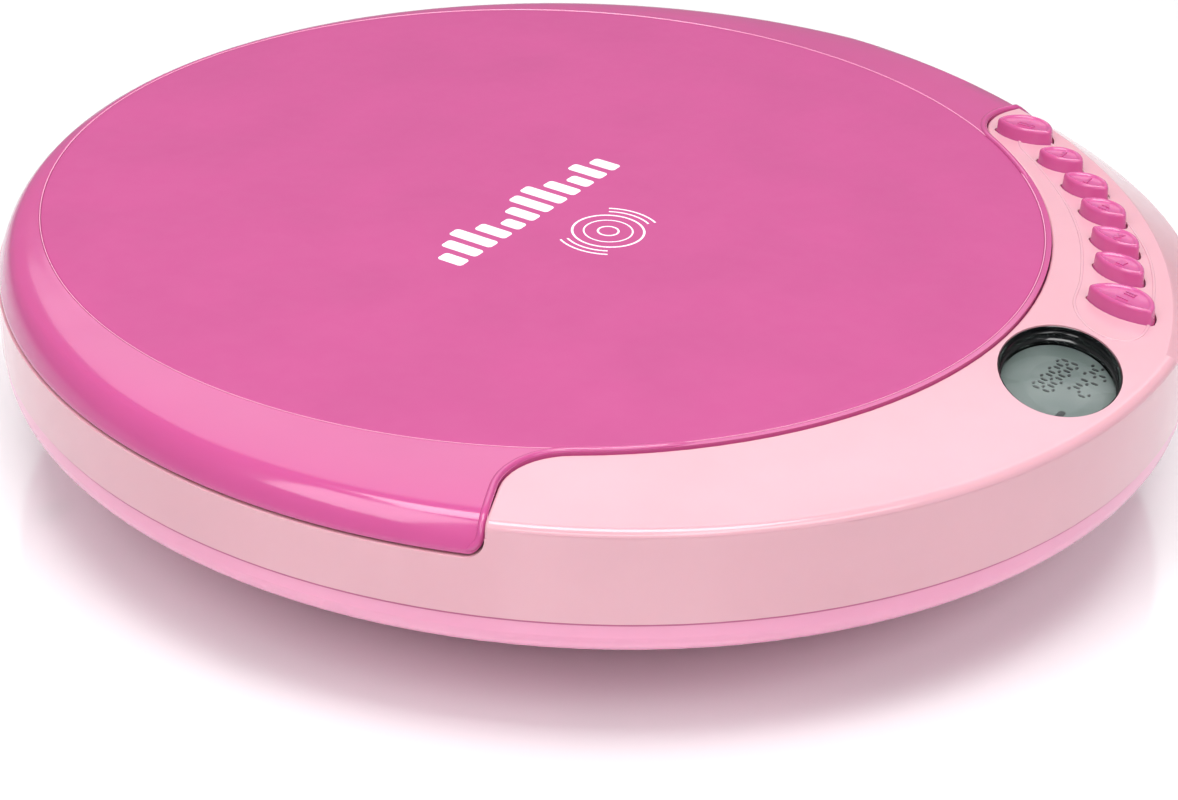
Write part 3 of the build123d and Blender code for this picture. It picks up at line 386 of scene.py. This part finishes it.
def deck_edge(grow, outer):
    """Plan outline of the crescent deck, moved outward by grow: left end, inner edge and right end."""
    corner = CORNER_R + grow
    along, inward = end_directions()
    # the corner's centre is at CORNER_R from the end line and from the well circle
    px, py = CORNER_R * inward[0], CORNER_R * inward[1] - WELL_Y
    half = along[0] * px + along[1] * py
    reach = -half + sqrt(half * half - (px * px + py * py) + (WELL_R + CORNER_R) ** 2)
    cx, cy = reach * along[0] + CORNER_R * inward[0], reach * along[1] + CORNER_R * inward[1]
    start = atan2(-inward[1], -inward[0])
    stop = atan2(WELL_Y - cy, -cx)
    if stop < start:
        stop += 2 * pi
    left = []
    shift = (-grow * inward[0], -grow * inward[1])
    for step in range(9):
        distance = outer + (reach - outer) * step / 9
        left.append((distance * along[0] + shift[0], distance * along[1] + shift[1]))
    sweep = stop - start
    if sweep > pi:
        sweep -= 2 * pi
    for step in range(25):
        angle = start + sweep * step / 24
        left.append((cx + corner * cos(angle), cy + corner * sin(angle)))
    first = atan2(left[-1][1] - WELL_Y, left[-1][0])
    inner = []
    for step in range(1, 120):
        angle = first + 2 * (-pi / 2 - first) * step / 120
        inner.append(((WELL_R - grow) * cos(angle), WELL_Y + (WELL_R - grow) * sin(angle)))
    right = [(-x, y) for x, y in reversed(left)]
    return left, inner, right


def deck_prism(name, grow):
    """Solid outside the lid's outline, to cut the lid with."""
    left, inner, right = deck_edge(grow, BEYOND)
    outline = left + inner + right + [(60, -110), (-60, -110)]
    return prism(name, outline, 10.0, 40.0)


def corner_cut(name, side):
    """Solid that rounds the lid's lower corner at one end, along the whole end wall."""
    centre_z = SKIRT_Z + FOOT_R
    section = [(-0.6, 21.0), (FOOT_R, 21.0)]
    section += [(FOOT_R + FOOT_R * cos(a), centre_z + FOOT_R * sin(a))
                for a in (radians(-90 - 9 * k) for k in range(11))]
    section += [(-0.6, centre_z)]
    lanes = [deck_edge(LID_GAP + offset, BEYOND)[0] for offset, _ in section]
    loops = [[(side * lane[i][0], lane[i][1], z) for lane, (_, z) in zip(lanes, section)]
             for i in range(len(lanes[0]))]
    return rings(name, loops, "lid", None)


# ---- lid -----------------------------------------------------------------------------------------
# centre's y, radius, height: recess, bead, crown, shoulder, skirt
LID_SKIN = [
    (8.0, 20.0, 26.5), (8.0, 60.03, 26.5), (8.0, 60.03, 26.82), (8.0, 60.06, 26.95), (8.0, 60.14, 27.0),
    (8.0, 60.3, 26.98), (7.6, 60.75, 26.95), (6.6, 61.85, 26.93), (5.2, 63.3, 26.87), (3.8, 65.0, 26.77),
    (2.4, 66.6, 26.62), (1.4, 67.75, 26.47), (0.85, 68.35, 26.35), (0.62, 68.72, 26.2), (0.5, 69.0, 26.02),
    (0.35, 69.4, 25.65), (0.2, 69.85, 25.1), (0.08, 70.2, 24.5), (0.0, 70.45, 23.95), (0.0, 70.65, 23.35),
    (0.0, 70.78, 22.95), (0.0, 70.76, 22.76), (0.0, 70.62, 22.66), (0.0, 70.2, 22.65),
]
LID_BACK = [(0.0, 69.5, 22.7), (0.0, 69.35, 24.0), (0.2, 68.2, 25.0), (0.6, 67.2, 25.45), (8.0, 58.0, 25.5),
            (8.0, 20.0, 25.5)]


def fall_profile(inset):
    """Radius and height down the falling edge, moved inward by inset."""
    radius = FALL_EDGE_R - inset
    bends = [FALL_SLOPE * k / 6 for k in range(7)]
    points = [(FALL_R + radius * sin(a), LID_TOP - FALL_EDGE_R + radius * cos(a)) for a in bends]
    end_r, end_z = points[-1]
    return points + [(end_r + (end_z - FALL_FOOT_Z) / tan(FALL_SLOPE), FALL_FOOT_Z)]


def fall_solid(inset):
    """Everything under the falling edge, to intersect a shape with."""
    loops = [circle(r, z, FALL_Y, FALL_X, 540) for r, z in fall_profile(inset)]
    return rings("fall", loops, "lid", None)


def fall_height(x, y):
    """Height of the falling edge above a plan point."""
    reach = hypot(x - FALL_X, y - FALL_Y)
    profile = fall_profile(0.0)
    if reach <= profile[0][0]:
        return LID_TOP
    for (r0, z0), (r1, z1) in zip(profile, profile[1:]):
        if reach <= r1:
            return z0 + (z1 - z0) * (reach - r0) / (r1 - r0)
    return FALL_FOOT_Z


def lid_skin():
    """Lid's outer skin: a hollow crown, cut to the deck's outline and with rounded lower corners."""
    skin = rings("lid_crown", [circle(r, z, y) for y, r, z in LID_SKIN + LID_BACK], "lid", None)
    combine(skin, fall_solid(0.0), "INTERSECT")
    hollow = [(0.0, 69.45, 20.0), (0.0, 69.3, 24.0), (0.2, 68.1, 25.0), (0.6, 67.1, 25.4), (8.0, 58.5, 25.48)]
    room = rings("room", [circle(r, z, y) for y, r, z in hollow], "lid", None)
    combine(room, deck_prism("inner_cut", 1.5))
    combine(room, fall_solid(1.35), "INTERSECT")
    combine(skin, room)
    combine(skin, deck_prism("outer_cut", LID_GAP))
    for side in (1, -1):
        combine(skin, corner_cut("corner_cut", side))
    shade(skin, 28)
    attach(skin, "lid")
    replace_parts(skin, "lid_shell")


def lid_height(x, y):
    """Height of the lid's skin above a plan point, from the rings either side of it."""
    fall = fall_height(x, y)
    for (y0, r0, z0), (y1, r1, z1) in zip(LID_SKIN[4:], LID_SKIN[5:]):
        low, high = 0.0, 1.0
        inside = hypot(x, y - y1) <= r1
        if not inside:
            continue
        for _ in range(24):
            t = (low + high) / 2
            if hypot(x, y - (y0 + t * (y1 - y0))) > r0 + t * (r1 - r0):
                low = t
            else:
                high = t
        return min(fall, z0 + high * (z1 - z0))
    return 22.7


def tube(name, path, radius, material, body, taper):
    """Round bead along a path of points; taper thins that many points at each end."""
    loops = []
    for i, point in enumerate(path):
        before, after = Vector(path[max(i - 1, 0)]), Vector(path[min(i + 1, len(path) - 1)])
        along = (after - before).normalized()
        side = along.cross(Vector((0, 0, 1)))
        if side.length <= 0.05:
            side = Vector((0, 0, 1)).cross(Vector(point))
        side.normalize()
        up = side.cross(along)
        edge = min(i, len(path) - 1 - i, taper)
        size = radius * (0.25 + 0.75 * edge / taper)
        loops.append([tuple(Vector(point) + size * (cos(a) * side + sin(a) * up)) for a in turns(12)])
    return rings(name, loops, material, body)


def end_lips():
    """Rounded lip along each end of the lid, from the disc over the crown and round the lower corner."""
    half, sunk = 0.45, 0.12
    left, inner, _ = deck_edge(LID_GAP + half, CASE_R - 0.1)
    along, inward = end_directions()
    down = []
    centre_z = SKIRT_Z + FOOT_R
    steps = [(half, z) for z in (25.65, 25.3, 25.0)]
    steps += [(FOOT_R + (FOOT_R - half) * cos(a), centre_z + (FOOT_R - half) * sin(a))
              for a in (radians(180 + 10 * k) for k in range(9))]
    for offset, z in steps:
        radius = next(r0 + (r1 - r0) * (z0 - z) / (z0 - z1) for (_, r0, z0), (_, r1, z1)
                      in zip(LID_SKIN[11:], LID_SKIN[12:]) if z1 <= z <= z0) - sunk
        shift = LID_GAP + offset
        reach = sqrt(radius * radius - shift * shift)
        down.append((reach * along[0] - shift * inward[0], reach * along[1] - shift * inward[1], z))
    path = [(x, y) for x, y in left if hypot(x, y) < 69.3] + inner[:14]
    for side, name in ((1, "lid_lip_left"), (-1, "lid_lip_right")):
        run = [(side * x, y, z) for x, y, z in reversed(down) if z < fall_height(side * x, y) - 0.3]
        run += [(side * x, y, lid_height(side * x, y) - sunk) for x, y in path]
        tube(name, run, LIP_R, "lid", "lid", 3)


def lid_arms():
    """Two arms that drop from the lid's rear edge to eyes on the hinge pins."""
    outline = [(64.6, 18.8), (65.6, 21.4), (67.2, 22.9), (67.2, 25.2), (68.2, 25.2), (69.0, 24.2),
               (69.0, 22.6), (68.2, 21.2), (67.85, 19.5), (67.85, 18.0)]
    eye_r, bore_r = 2.1, 1.04
    for side, name in ((-1, "lid_arm_left"), (1, "lid_arm_right")):
        faces = [side * ARM_X - ARM_HALF, side * ARM_X + ARM_HALF]
        arm = rings(name, [[(x, y, z) for y, z in outline] for x in faces], "lid", None)
        eye = [side_circle(x, eye_r, HINGE_Y, HINGE_Z, 40) for x in faces]
        combine(arm, rings("eye", eye, "lid", None), "UNION")
        bore = [side_circle(side * ARM_X + x, bore_r, HINGE_Y, HINGE_Z, 32) for x in (-3, 3)]
        combine(arm, rings("bore", bore, "lid", None))
        round_edges(arm, 0.2)
        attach(arm, "lid")


def lid_hook():
    """Catch beside the open key that drops through the rim into the latch, with a rounded nose."""
    stem_x, stem_y = KEY_TIP_R * cos(radians(-27.7)) + 1.0, KEY_TIP_R * sin(radians(-27.7)) - 3.8
    c, s = cos(radians(55.7)), sin(radians(55.7))
    side = [(13.4, 25.2), (13.4, 18.55), (13.55, 18.4), (15.0, 18.4), (15.2, 18.6), (15.2, 18.9),
            (14.9, 19.1), (14.4, 19.2), (14.4, 25.2)]
    loops = [[(stem_x + c * u - s * v, stem_y + s * u + c * v, z) for u, z in side] for v in (-1.5, 1.5)]
    hook = rings("lid_hook", loops, "lid", None)
    round_edges(hook, 0.1)
    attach(hook, "lid")


def switch_pin():
    """Pin under the lid that presses the lid switch."""
    x, y = 67.0 * cos(radians(160)), 67.0 * sin(radians(160))
    loops = [circle(r, z, y, x, 32) for r, z in ((1.0, 25.4), (1.0, 23.3), (0.9, 23.05), (0.7, 22.95))]
    rings("lid_switch_pin", loops, "lid", "lid")


lid_skin()
end_lips()
lid_arms()
lid_hook()
switch_pin()


# ---- lid's flat disc and its printed signs -------------------------------------------------------
# radius, height
INLAY = [(0.5, 26.52), (59.7, 26.52), (59.84, 26.62), (59.88, 26.85), (59.8, 26.955), (59.6, 26.99),
         (59.0, 27.0), (0.5, 27.0)]
INLAY_EDGE = [(59.9, 26.6), (59.9, 26.97), (59.94, 27.0), (60.02, 27.0), (60.02, 26.6)]


def lid_disc():
    """Satin disc let into the lid, and a thin ring round it in a lighter pink: a painted highlight line on
    the disc's edge.
    """
    disc = [circle(r, z, WELL_Y) for r, z in INLAY]
    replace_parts(rings("lid_disc", disc, "flat", "lid"), "lid_inlay")
    # the ring round the disc takes the lighter pink of the painted highlight
    edge = [circle(r, z, WELL_Y) for r, z in INLAY_EDGE]
    rings("inlay_edge", edge, "edge", "lid", closed=True)


def rounded_bar(x0, x1, y0, y1, radius):
    """Rectangle with rounded corners."""
    points = []
    for cx, cy, first in ((x1 - radius, y0 + radius, -90), (x1 - radius, y1 - radius, 0),
                          (x0 + radius, y1 - radius, 90), (x0 + radius, y0 + radius, 180)):
        for k in range(7):
            a = radians(first + 15 * k)
            points.append((cx + radius * cos(a), cy + radius * sin(a)))
    return points


def print_ring(name, outer, inner, start=0, stop=360):
    """Flat ring, or a part of one, of the rings pictogram."""
    x, y = RINGS_AT
    loops = []
    for k in range(73):
        a = radians(start + (stop - start) * k / 72)
        section = ((outer, PRINT_LOW), (outer, PRINT_HIGH), (inner, PRINT_HIGH), (inner, PRINT_LOW))
        loops.append([(x + r * cos(a), y + r * sin(a), z) for r, z in section])
    rings(name, loops, "print", "lid", caps=stop - start < 360)


RINGS_AT = (-3.6, -3.4)
BARS_AT, BAR_PITCH, BAR_WIDTH = (-21.5, 5.2), 2.94, 1.9
BAR_HEIGHTS = (3.4, 5.0, 6.0, 4.4, 2.8, 4.2, 5.6, 6.0, 4.6, 3.2, 4.9, 3.7)


def lid_print():
    """Generic signs printed on the disc: a row of level bars and a pictogram of rings."""
    y = BARS_AT[1]
    for index, height in enumerate(BAR_HEIGHTS):
        x = BARS_AT[0] + BAR_PITCH * index
        bar = rounded_bar(x, x + BAR_WIDTH, y, y + height, 0.5)
        prism(f"print_bar_{index + 1}", bar, PRINT_LOW, PRINT_HIGH, "print", "lid")
    for index, (outer, inner) in enumerate(((4.4, 4.12), (3.0, 2.8), (1.35, 1.1))):
        print_ring(f"print_disc_{index + 1}", outer, inner)
    for index, radius in enumerate((5.4, 6.3)):
        for side, middle in (("right", 0), ("left", 180)):
            print_ring(f"print_wave_{index + 1}_{side}", radius, radius - 0.26, middle - 32, middle + 32)


lid_disc()
lid_print()


# ---- display -------------------------------------------------------------------------------------
def oval(a, b, z):
    """Ellipse round the display's centre, turned with the display."""
    c, s = cos(DISPLAY_TILT), sin(DISPLAY_TILT)
    flat = [(a * cos(t), b * sin(t)) for t in turns(128)]
    return [(DISPLAY_X + c * u - s * v, DISPLAY_Y + s * u + c * v, z) for u, v in flat]


# half axes and height
BEZEL = [(10.44, 6.74, 22.6), (10.44, 6.74, 26.42), (10.41, 6.71, 26.56), (10.35, 6.65, 26.6),
         (10.29, 6.59, 26.56), (10.26, 6.56, 26.4), (10.25, 6.55, 26.0), (10.2, 6.5, 25.92),
         (10.14, 6.44, 25.84), (10.14, 6.44, 25.74), (10.2, 6.5, 25.66), (10.22, 6.52, 25.5),
         (10.2, 6.5, 25.2), (10.1, 6.42, 25.1), (9.98, 6.3, 25.04), (9.94, 6.26, 24.96),
         (9.98, 6.3, 24.86), (10.1, 6.4, 24.8), (10.12, 6.42, 24.6), (10.1, 6.4, 22.6)]
WINDOW = [(0.3, 0.2, 24.5), (4.0, 2.2, 24.5), (9.96, 6.28, 24.5), (10.04, 6.34, 24.56),
          (10.04, 6.34, 24.72), (9.9, 6.24, 24.78), (6.0, 3.2, 24.8), (3.0, 1.5, 24.81), (0.3, 0.2, 24.81)]
PANEL = [(8.6, 5.2, 22.2), (8.6, 5.2, 23.9), (10.0, 6.32, 23.9), (10.0, 6.32, 24.2),
         (9.9, 6.24, CRYSTAL_Z), (0.4, 0.3, CRYSTAL_Z)]


def display():
    """Black stepped surround, clear cover and crystal panel."""
    steps = [oval(*row) for row in BEZEL]
    bezel = rings("display_surround", steps, "black", "case", closed=True)
    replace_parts(bezel, "display_bezel")
    window = rings("display_cover", [oval(*row) for row in WINDOW], "glass", "case")
    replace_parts(window, "display_window")
    panel = rings("crystal_face", [oval(*row) for row in PANEL], "crystal", "case")
    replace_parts(panel, "lcd_panel")


# the bars of a seven-segment figure that each sign lights
SEGMENTS = {"2": "abged", "3": "abgcd", "4": "fgbc", "5": "afgcd", "8": "abcdefg"}


def digit(name, sign, x, y, width, height):
    """Seven-segment figure lying on the crystal."""
    t, h = 0.27 * width, height / 2
    bars = {"a": (t, width - t, height, 0), "g": (t, width - t, h, 0), "d": (t, width - t, 0, 0),
            "f": (h + t / 2, height - t / 2, 0, 1), "b": (h + t / 2, height - t / 2, width, 1),
            "e": (t / 2, h - t / 2, 0, 1), "c": (t / 2, h - t / 2, width, 1)}
    points, faces = [], []
    for key in SEGMENTS[sign]:
        start, stop, level, upright = bars[key]
        half = t / 2
        flat = [(start, level), (start + half, level + half), (stop - half, level + half), (stop, level),
                (stop - half, level - half), (start + half, level - half)]
        if upright:
            flat = [(b, a) for a, b in flat]
        base = len(points)
        for z in (CRYSTAL_Z + 0.005, CRYSTAL_Z + 0.05):
            points += [(x + u + 0.12 * v, y + v, z) for u, v in flat]
        faces.append(tuple(base + k for k in range(6)))
        faces.append(tuple(base + 6 + k for k in range(6)))
        faces += [(base + k, base + (k + 1) % 6, base + 6 + (k + 1) % 6, base + 6 + k) for k in range(6)]
    piece(name, points, faces, "segment", "case", smooth=False)


def figures():
    """Two rows of made-up figures and one small bar."""
    for row, (text, x, y) in enumerate((("8888", -3.6, -60.9), ("2435", -2.4, -64.6))):
        for index, sign in enumerate(text):
            digit(f"figure_{row + 1}_{index + 1}", sign, x + 2.05 * index, y, 1.3, 2.5)
    prism("display_bar", rounded_bar(-8.4, -6.6, -64.2, -63.4, 0.2), CRYSTAL_Z + 0.005, CRYSTAL_Z + 0.02,
          "segment", "case")


display()
figures()


# ---- keys ----------------------------------------------------------------------------------------
# angle of the inner tip, length, lean of the long axis, bulge at right, bulge at left
KEYS = {
    "open_key": (-27.7, 7.6, -90, 3.4, 1.4), "program_key": (-37.5, 6.1, -91, 2.35, 1.35),
    "mode_key": (-44.8, 6.4, -97, 2.35, 1.35), "forward_key": (-51.9, 6.6, -101, 2.35, 1.35),
    "back_key": (-59.4, 7.1, -105, 2.35, 1.35), "stop_key": (-66.2, 7.3, -106, 2.45, 1.35),
    "play_key": (-74.8, 9.0, -103, 3.6, 1.2),
}


def key_axes(name):
    """Middle, direction and right-hand normal of a key."""
    tip, length, lean = KEYS[name][:3]
    along = (cos(radians(lean)), sin(radians(lean)))
    middle = (KEY_TIP_R * cos(radians(tip)) + along[0] * length / 2,
              KEY_TIP_R * sin(radians(tip)) + along[1] * length / 2)
    return middle, along, (-along[1], along[0])


def key_point(centre, along, normal, u, v):
    """Plan point at u along a key and v to its right."""
    return centre[0] + u * along[0] + v * normal[0], centre[1] + u * along[1] + v * normal[1]


def leaf(name, inset):
    """Plan outline of a key between its two rounded tips, moved inward."""
    count = 34
    length, right, left = KEYS[name][1], KEYS[name][3] - inset, KEYS[name][4] - inset
    half = length / 2 - 1.25 * inset
    middle, along, normal = key_axes(name)
    outline = []
    for side, bulge in ((1, right), (-1, left)):
        radius = (half * half + bulge * bulge) / (2 * bulge)
        spread = atan2(half, radius - bulge)
        for k in range(count):
            a = spread * (2 * k / count - 1)
            outline.append((side * radius * sin(a), side * (radius * cos(a) - (radius - bulge))))
    # the tips are rounded by easing the points nearest them
    eased = []
    for i, (u, v) in enumerate(outline):
        if min(i % count, count - i % count) <= 2:
            before, after = outline[i - 1], outline[(i + 1) % len(outline)]
            u, v = u / 2 + (before[0] + after[0]) / 4, v / 2 + (before[1] + after[1]) / 4
        eased.append(key_point(middle, along, normal, u, v))
    return eased


# inset and height up the side of a key
KEY_PROFILE = [(-0.14, 24.9), (-0.14, 26.55), (-0.06, 26.78), (0.0, 27.05), (0.03, 28.0), (0.1, 28.26),
               (0.22, 28.42), (0.36, 28.48), (0.52, 28.44), (0.64, 28.33), (0.74, 28.26)]


def key_cap(name):
    """Keycap with a soft top edge and a slightly dished face; gives the middle of its face."""
    loops = [[(x, y, z) for x, y in leaf(name, inset)] for inset, z in KEY_PROFILE]
    right, left = KEYS[name][3:]
    centre = key_point(*key_axes(name), 0.0, (right - left) / 2)
    last = loops[-1]
    for share, z in ((0.6, 28.19), (0.25, 28.16), (0.03, 28.16)):
        loops.append([(centre[0] + (x - centre[0]) * share, centre[1] + (y - centre[1]) * share, z)
                      for x, y, _ in last])
    cap = rings(name + "_cap", loops, "key", name + "_body")
    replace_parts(cap, name)
    return centre


def sign_part(name, key, outline, centre):
    """Raised sign on a keycap: outline in the key's own directions, u along it and v to its right."""
    _, along, normal = key_axes(key)
    plan = [key_point(centre, along, normal, u, v) for u, v in outline]
    prism(name, plan, SIGN_LOW, SIGN_HIGH, "key", key + "_body")


def triangle(v0, v1, half):
    """Triangle from a base at v0 to a tip at v1."""
    return [(-half, v0), (half, v0), (0, v1)]


def square(half, v0=0.0):
    return [(-half, v0 - half), (half, v0 - half), (half, v0 + half), (-half, v0 + half)]


SIGNS = {
    "open_key": [triangle(-0.25, 0.75, 1.1), [(-1.1, -0.75), (1.1, -0.75), (1.1, -0.45), (-1.1, -0.45)]],
    "program_key": [square(0.22, -0.55), square(0.22, 0.0), square(0.22, 0.55)],
    "mode_key": [square(0.3, -0.45), [(-0.12, -0.1), (0.12, -0.1), (0.12, 0.8), (-0.12, 0.8)]],
    "forward_key": [triangle(-0.75, -0.05, 0.55), triangle(0.0, 0.7, 0.55)],
    "back_key": [triangle(0.75, 0.05, 0.55), triangle(0.0, -0.7, 0.55)],
    "stop_key": [square(0.5)],
    "play_key": [triangle(-0.8, 0.15, 0.8), [(-0.7, 0.4), (0.7, 0.4), (0.7, 0.65), (-0.7, 0.65)],
                 [(-0.7, 0.85), (0.7, 0.85), (0.7, 1.1), (-0.7, 1.1)]],
}
for name in KEYS:
    centre = key_cap(name)
    for index, outline in enumerate(SIGNS[name]):
        sign_part(f"{name}_sign_{index + 1}", name, outline, centre)


# ---- bead round the keys -------------------------------------------------------------------------
def tray_bead():
    """Fine raised line round the group of keys."""
    knots = [(57.3, -77.0), (57.1, -70.0), (57.1, -60.0), (57.2, -50.0), (57.6, -40.0), (58.4, -33.0),
             (60.4, -31.2), (62.4, -33.5), (62.7, -42.0), (62.9, -50.0), (64.4, -60.0), (65.3, -68.0),
             (66.0, -77.0), (65.8, -81.5), (63.4, -83.0), (60.0, -81.5)]
    points = [Vector((r * cos(radians(a)), r * sin(radians(a)), DECK_Z)) for r, a in knots]
    count = len(points)
    path = []
    for i in range(count):
        p0, p1, p2, p3 = (points[(i + k - 1) % count] for k in range(4))
        for step in range(8):
            t = step / 8
            path.append(0.5 * (2 * p1 + (p2 - p0) * t + (2 * p0 - 5 * p1 + 4 * p2 - p3) * t * t
                               + (3 * p1 - p0 - 3 * p2 + p3) * t ** 3))
    loops = []
    for i, point in enumerate(path):
        along = (path[(i + 1) % len(path)] - path[i - 1]).normalized()
        side = along.cross(Vector((0, 0, 1)))
        loops.append([tuple(point + side * 0.22 * u + Vector((0, 0, h)))
                      for u, h in ((-1, -0.05), (-0.6, 0.07), (0, 0.1), (0.6, 0.07), (1, -0.05))])
    rings("tray_line", loops, "deck", "case", closed=True)


# ---- seam and front edge -------------------------------------------------------------------------
def case_seam():
    """Recessed ring in the gap between the two case halves, coloured darker than the case: painted shade in
    the gap.
    """
    deep, shallow = CASE_R - 0.4, CASE_R - 0.18
    section = ((deep, SEAM_LOW), (shallow, SEAM_LOW), (shallow, SEAM_HIGH), (deep, SEAM_HIGH))
    # the ring takes the darker pink of the painted shade
    rings("case_seam", [circle(r, z) for r, z in section], "seam", "case", closed=True)


def deck_brow():
    """Smooth skin over the rounded front edge of the deck, thinning out at both ends."""
    start, sweep, last = -155.6, 72.0, 149
    bends = [radians(15 * k) for k in range(6)]
    loops = []
    for step in range(last + 1):
        a = radians(start + sweep * step / last)
        proud = 0.012 * min(1.0, step / 8, (last - step) / 8)
        radius = DECK_EDGE_R + proud
        section = [(CASE_R - 1.8, DECK_Z + 0.5 * proud), (CASE_R - 1.3, DECK_Z + proud)]
        section += [(CASE_R - DECK_EDGE_R + radius * sin(t), DECK_Z - DECK_EDGE_R + radius * cos(t))
                    for t in bends]
        section += [(CASE_R - 0.4, DECK_Z - 0.9), (CASE_R - 1.1, DECK_Z - 0.5), (CASE_R - 1.8, DECK_Z - 0.3)]
        loops.append([(r * cos(a), r * sin(a), z) for r, z in section])
    rings("deck_brow", loops, "deck", "case")


tray_bead()
case_seam()
deck_brow()


# ---- floor, light --------------------------------------------------------------------------------
FLOOR_HALF = 3000


def pale_floor():
    look["floor"] = Shader("floor_white", (0.84, 0.845, 0.85, 1.0), 0.1, IOR=1.75).smudge(30.0, 0.04).material
    corners = [(x * FLOOR_HALF, y * FLOOR_HALF, 0) for x, y in ((-1, -1), (1, -1), (1, 1), (-1, 1))]
    piece("floor", corners, [(0, 1, 2, 3)], "floor", None, smooth=False)


def softbox(name, place, width, height, power):
    """Rectangular lamp, placed in metres and turned to the object."""
    lamp = bpy.data.objects.new(name, bpy.data.lights.new(name, "AREA"))
    bpy.context.scene.collection.objects.link(lamp)
    lamp.location = Vector(place)
    lamp.data.shape, lamp.data.size, lamp.data.size_y = "RECTANGLE", width, height
    lamp.data.energy = power
    aim(lamp, Vector((0, 0, 0.02)))


def studio_world():
    world = bpy.data.worlds.new("studio")
    bpy.context.scene.world = world
    world.use_nodes = True
    world.node_tree.nodes["Background"].inputs["Color"].default_value = (1.0, 1.0, 1.0, 1.0)
    world.node_tree.nodes["Background"].inputs["Strength"].default_value = 0.3


pale_floor()
softbox("top_light", (-0.1, -0.05, 0.95), 0.7, 0.5, 7.5)
softbox("left_light", (-0.75, 0.2, 0.8), 0.5, 0.6, 3.6)
softbox("front_light", (-0.25, -0.8, 0.85), 0.8, 0.4, 3.4)
softbox("camera_side", (-1.0, -0.75, 0.8), 0.9, 0.3, 3.4)
softbox("back_panel", (1.25, 0.78, 1.35), 1.6, 0.9, 5.5)
studio_world()
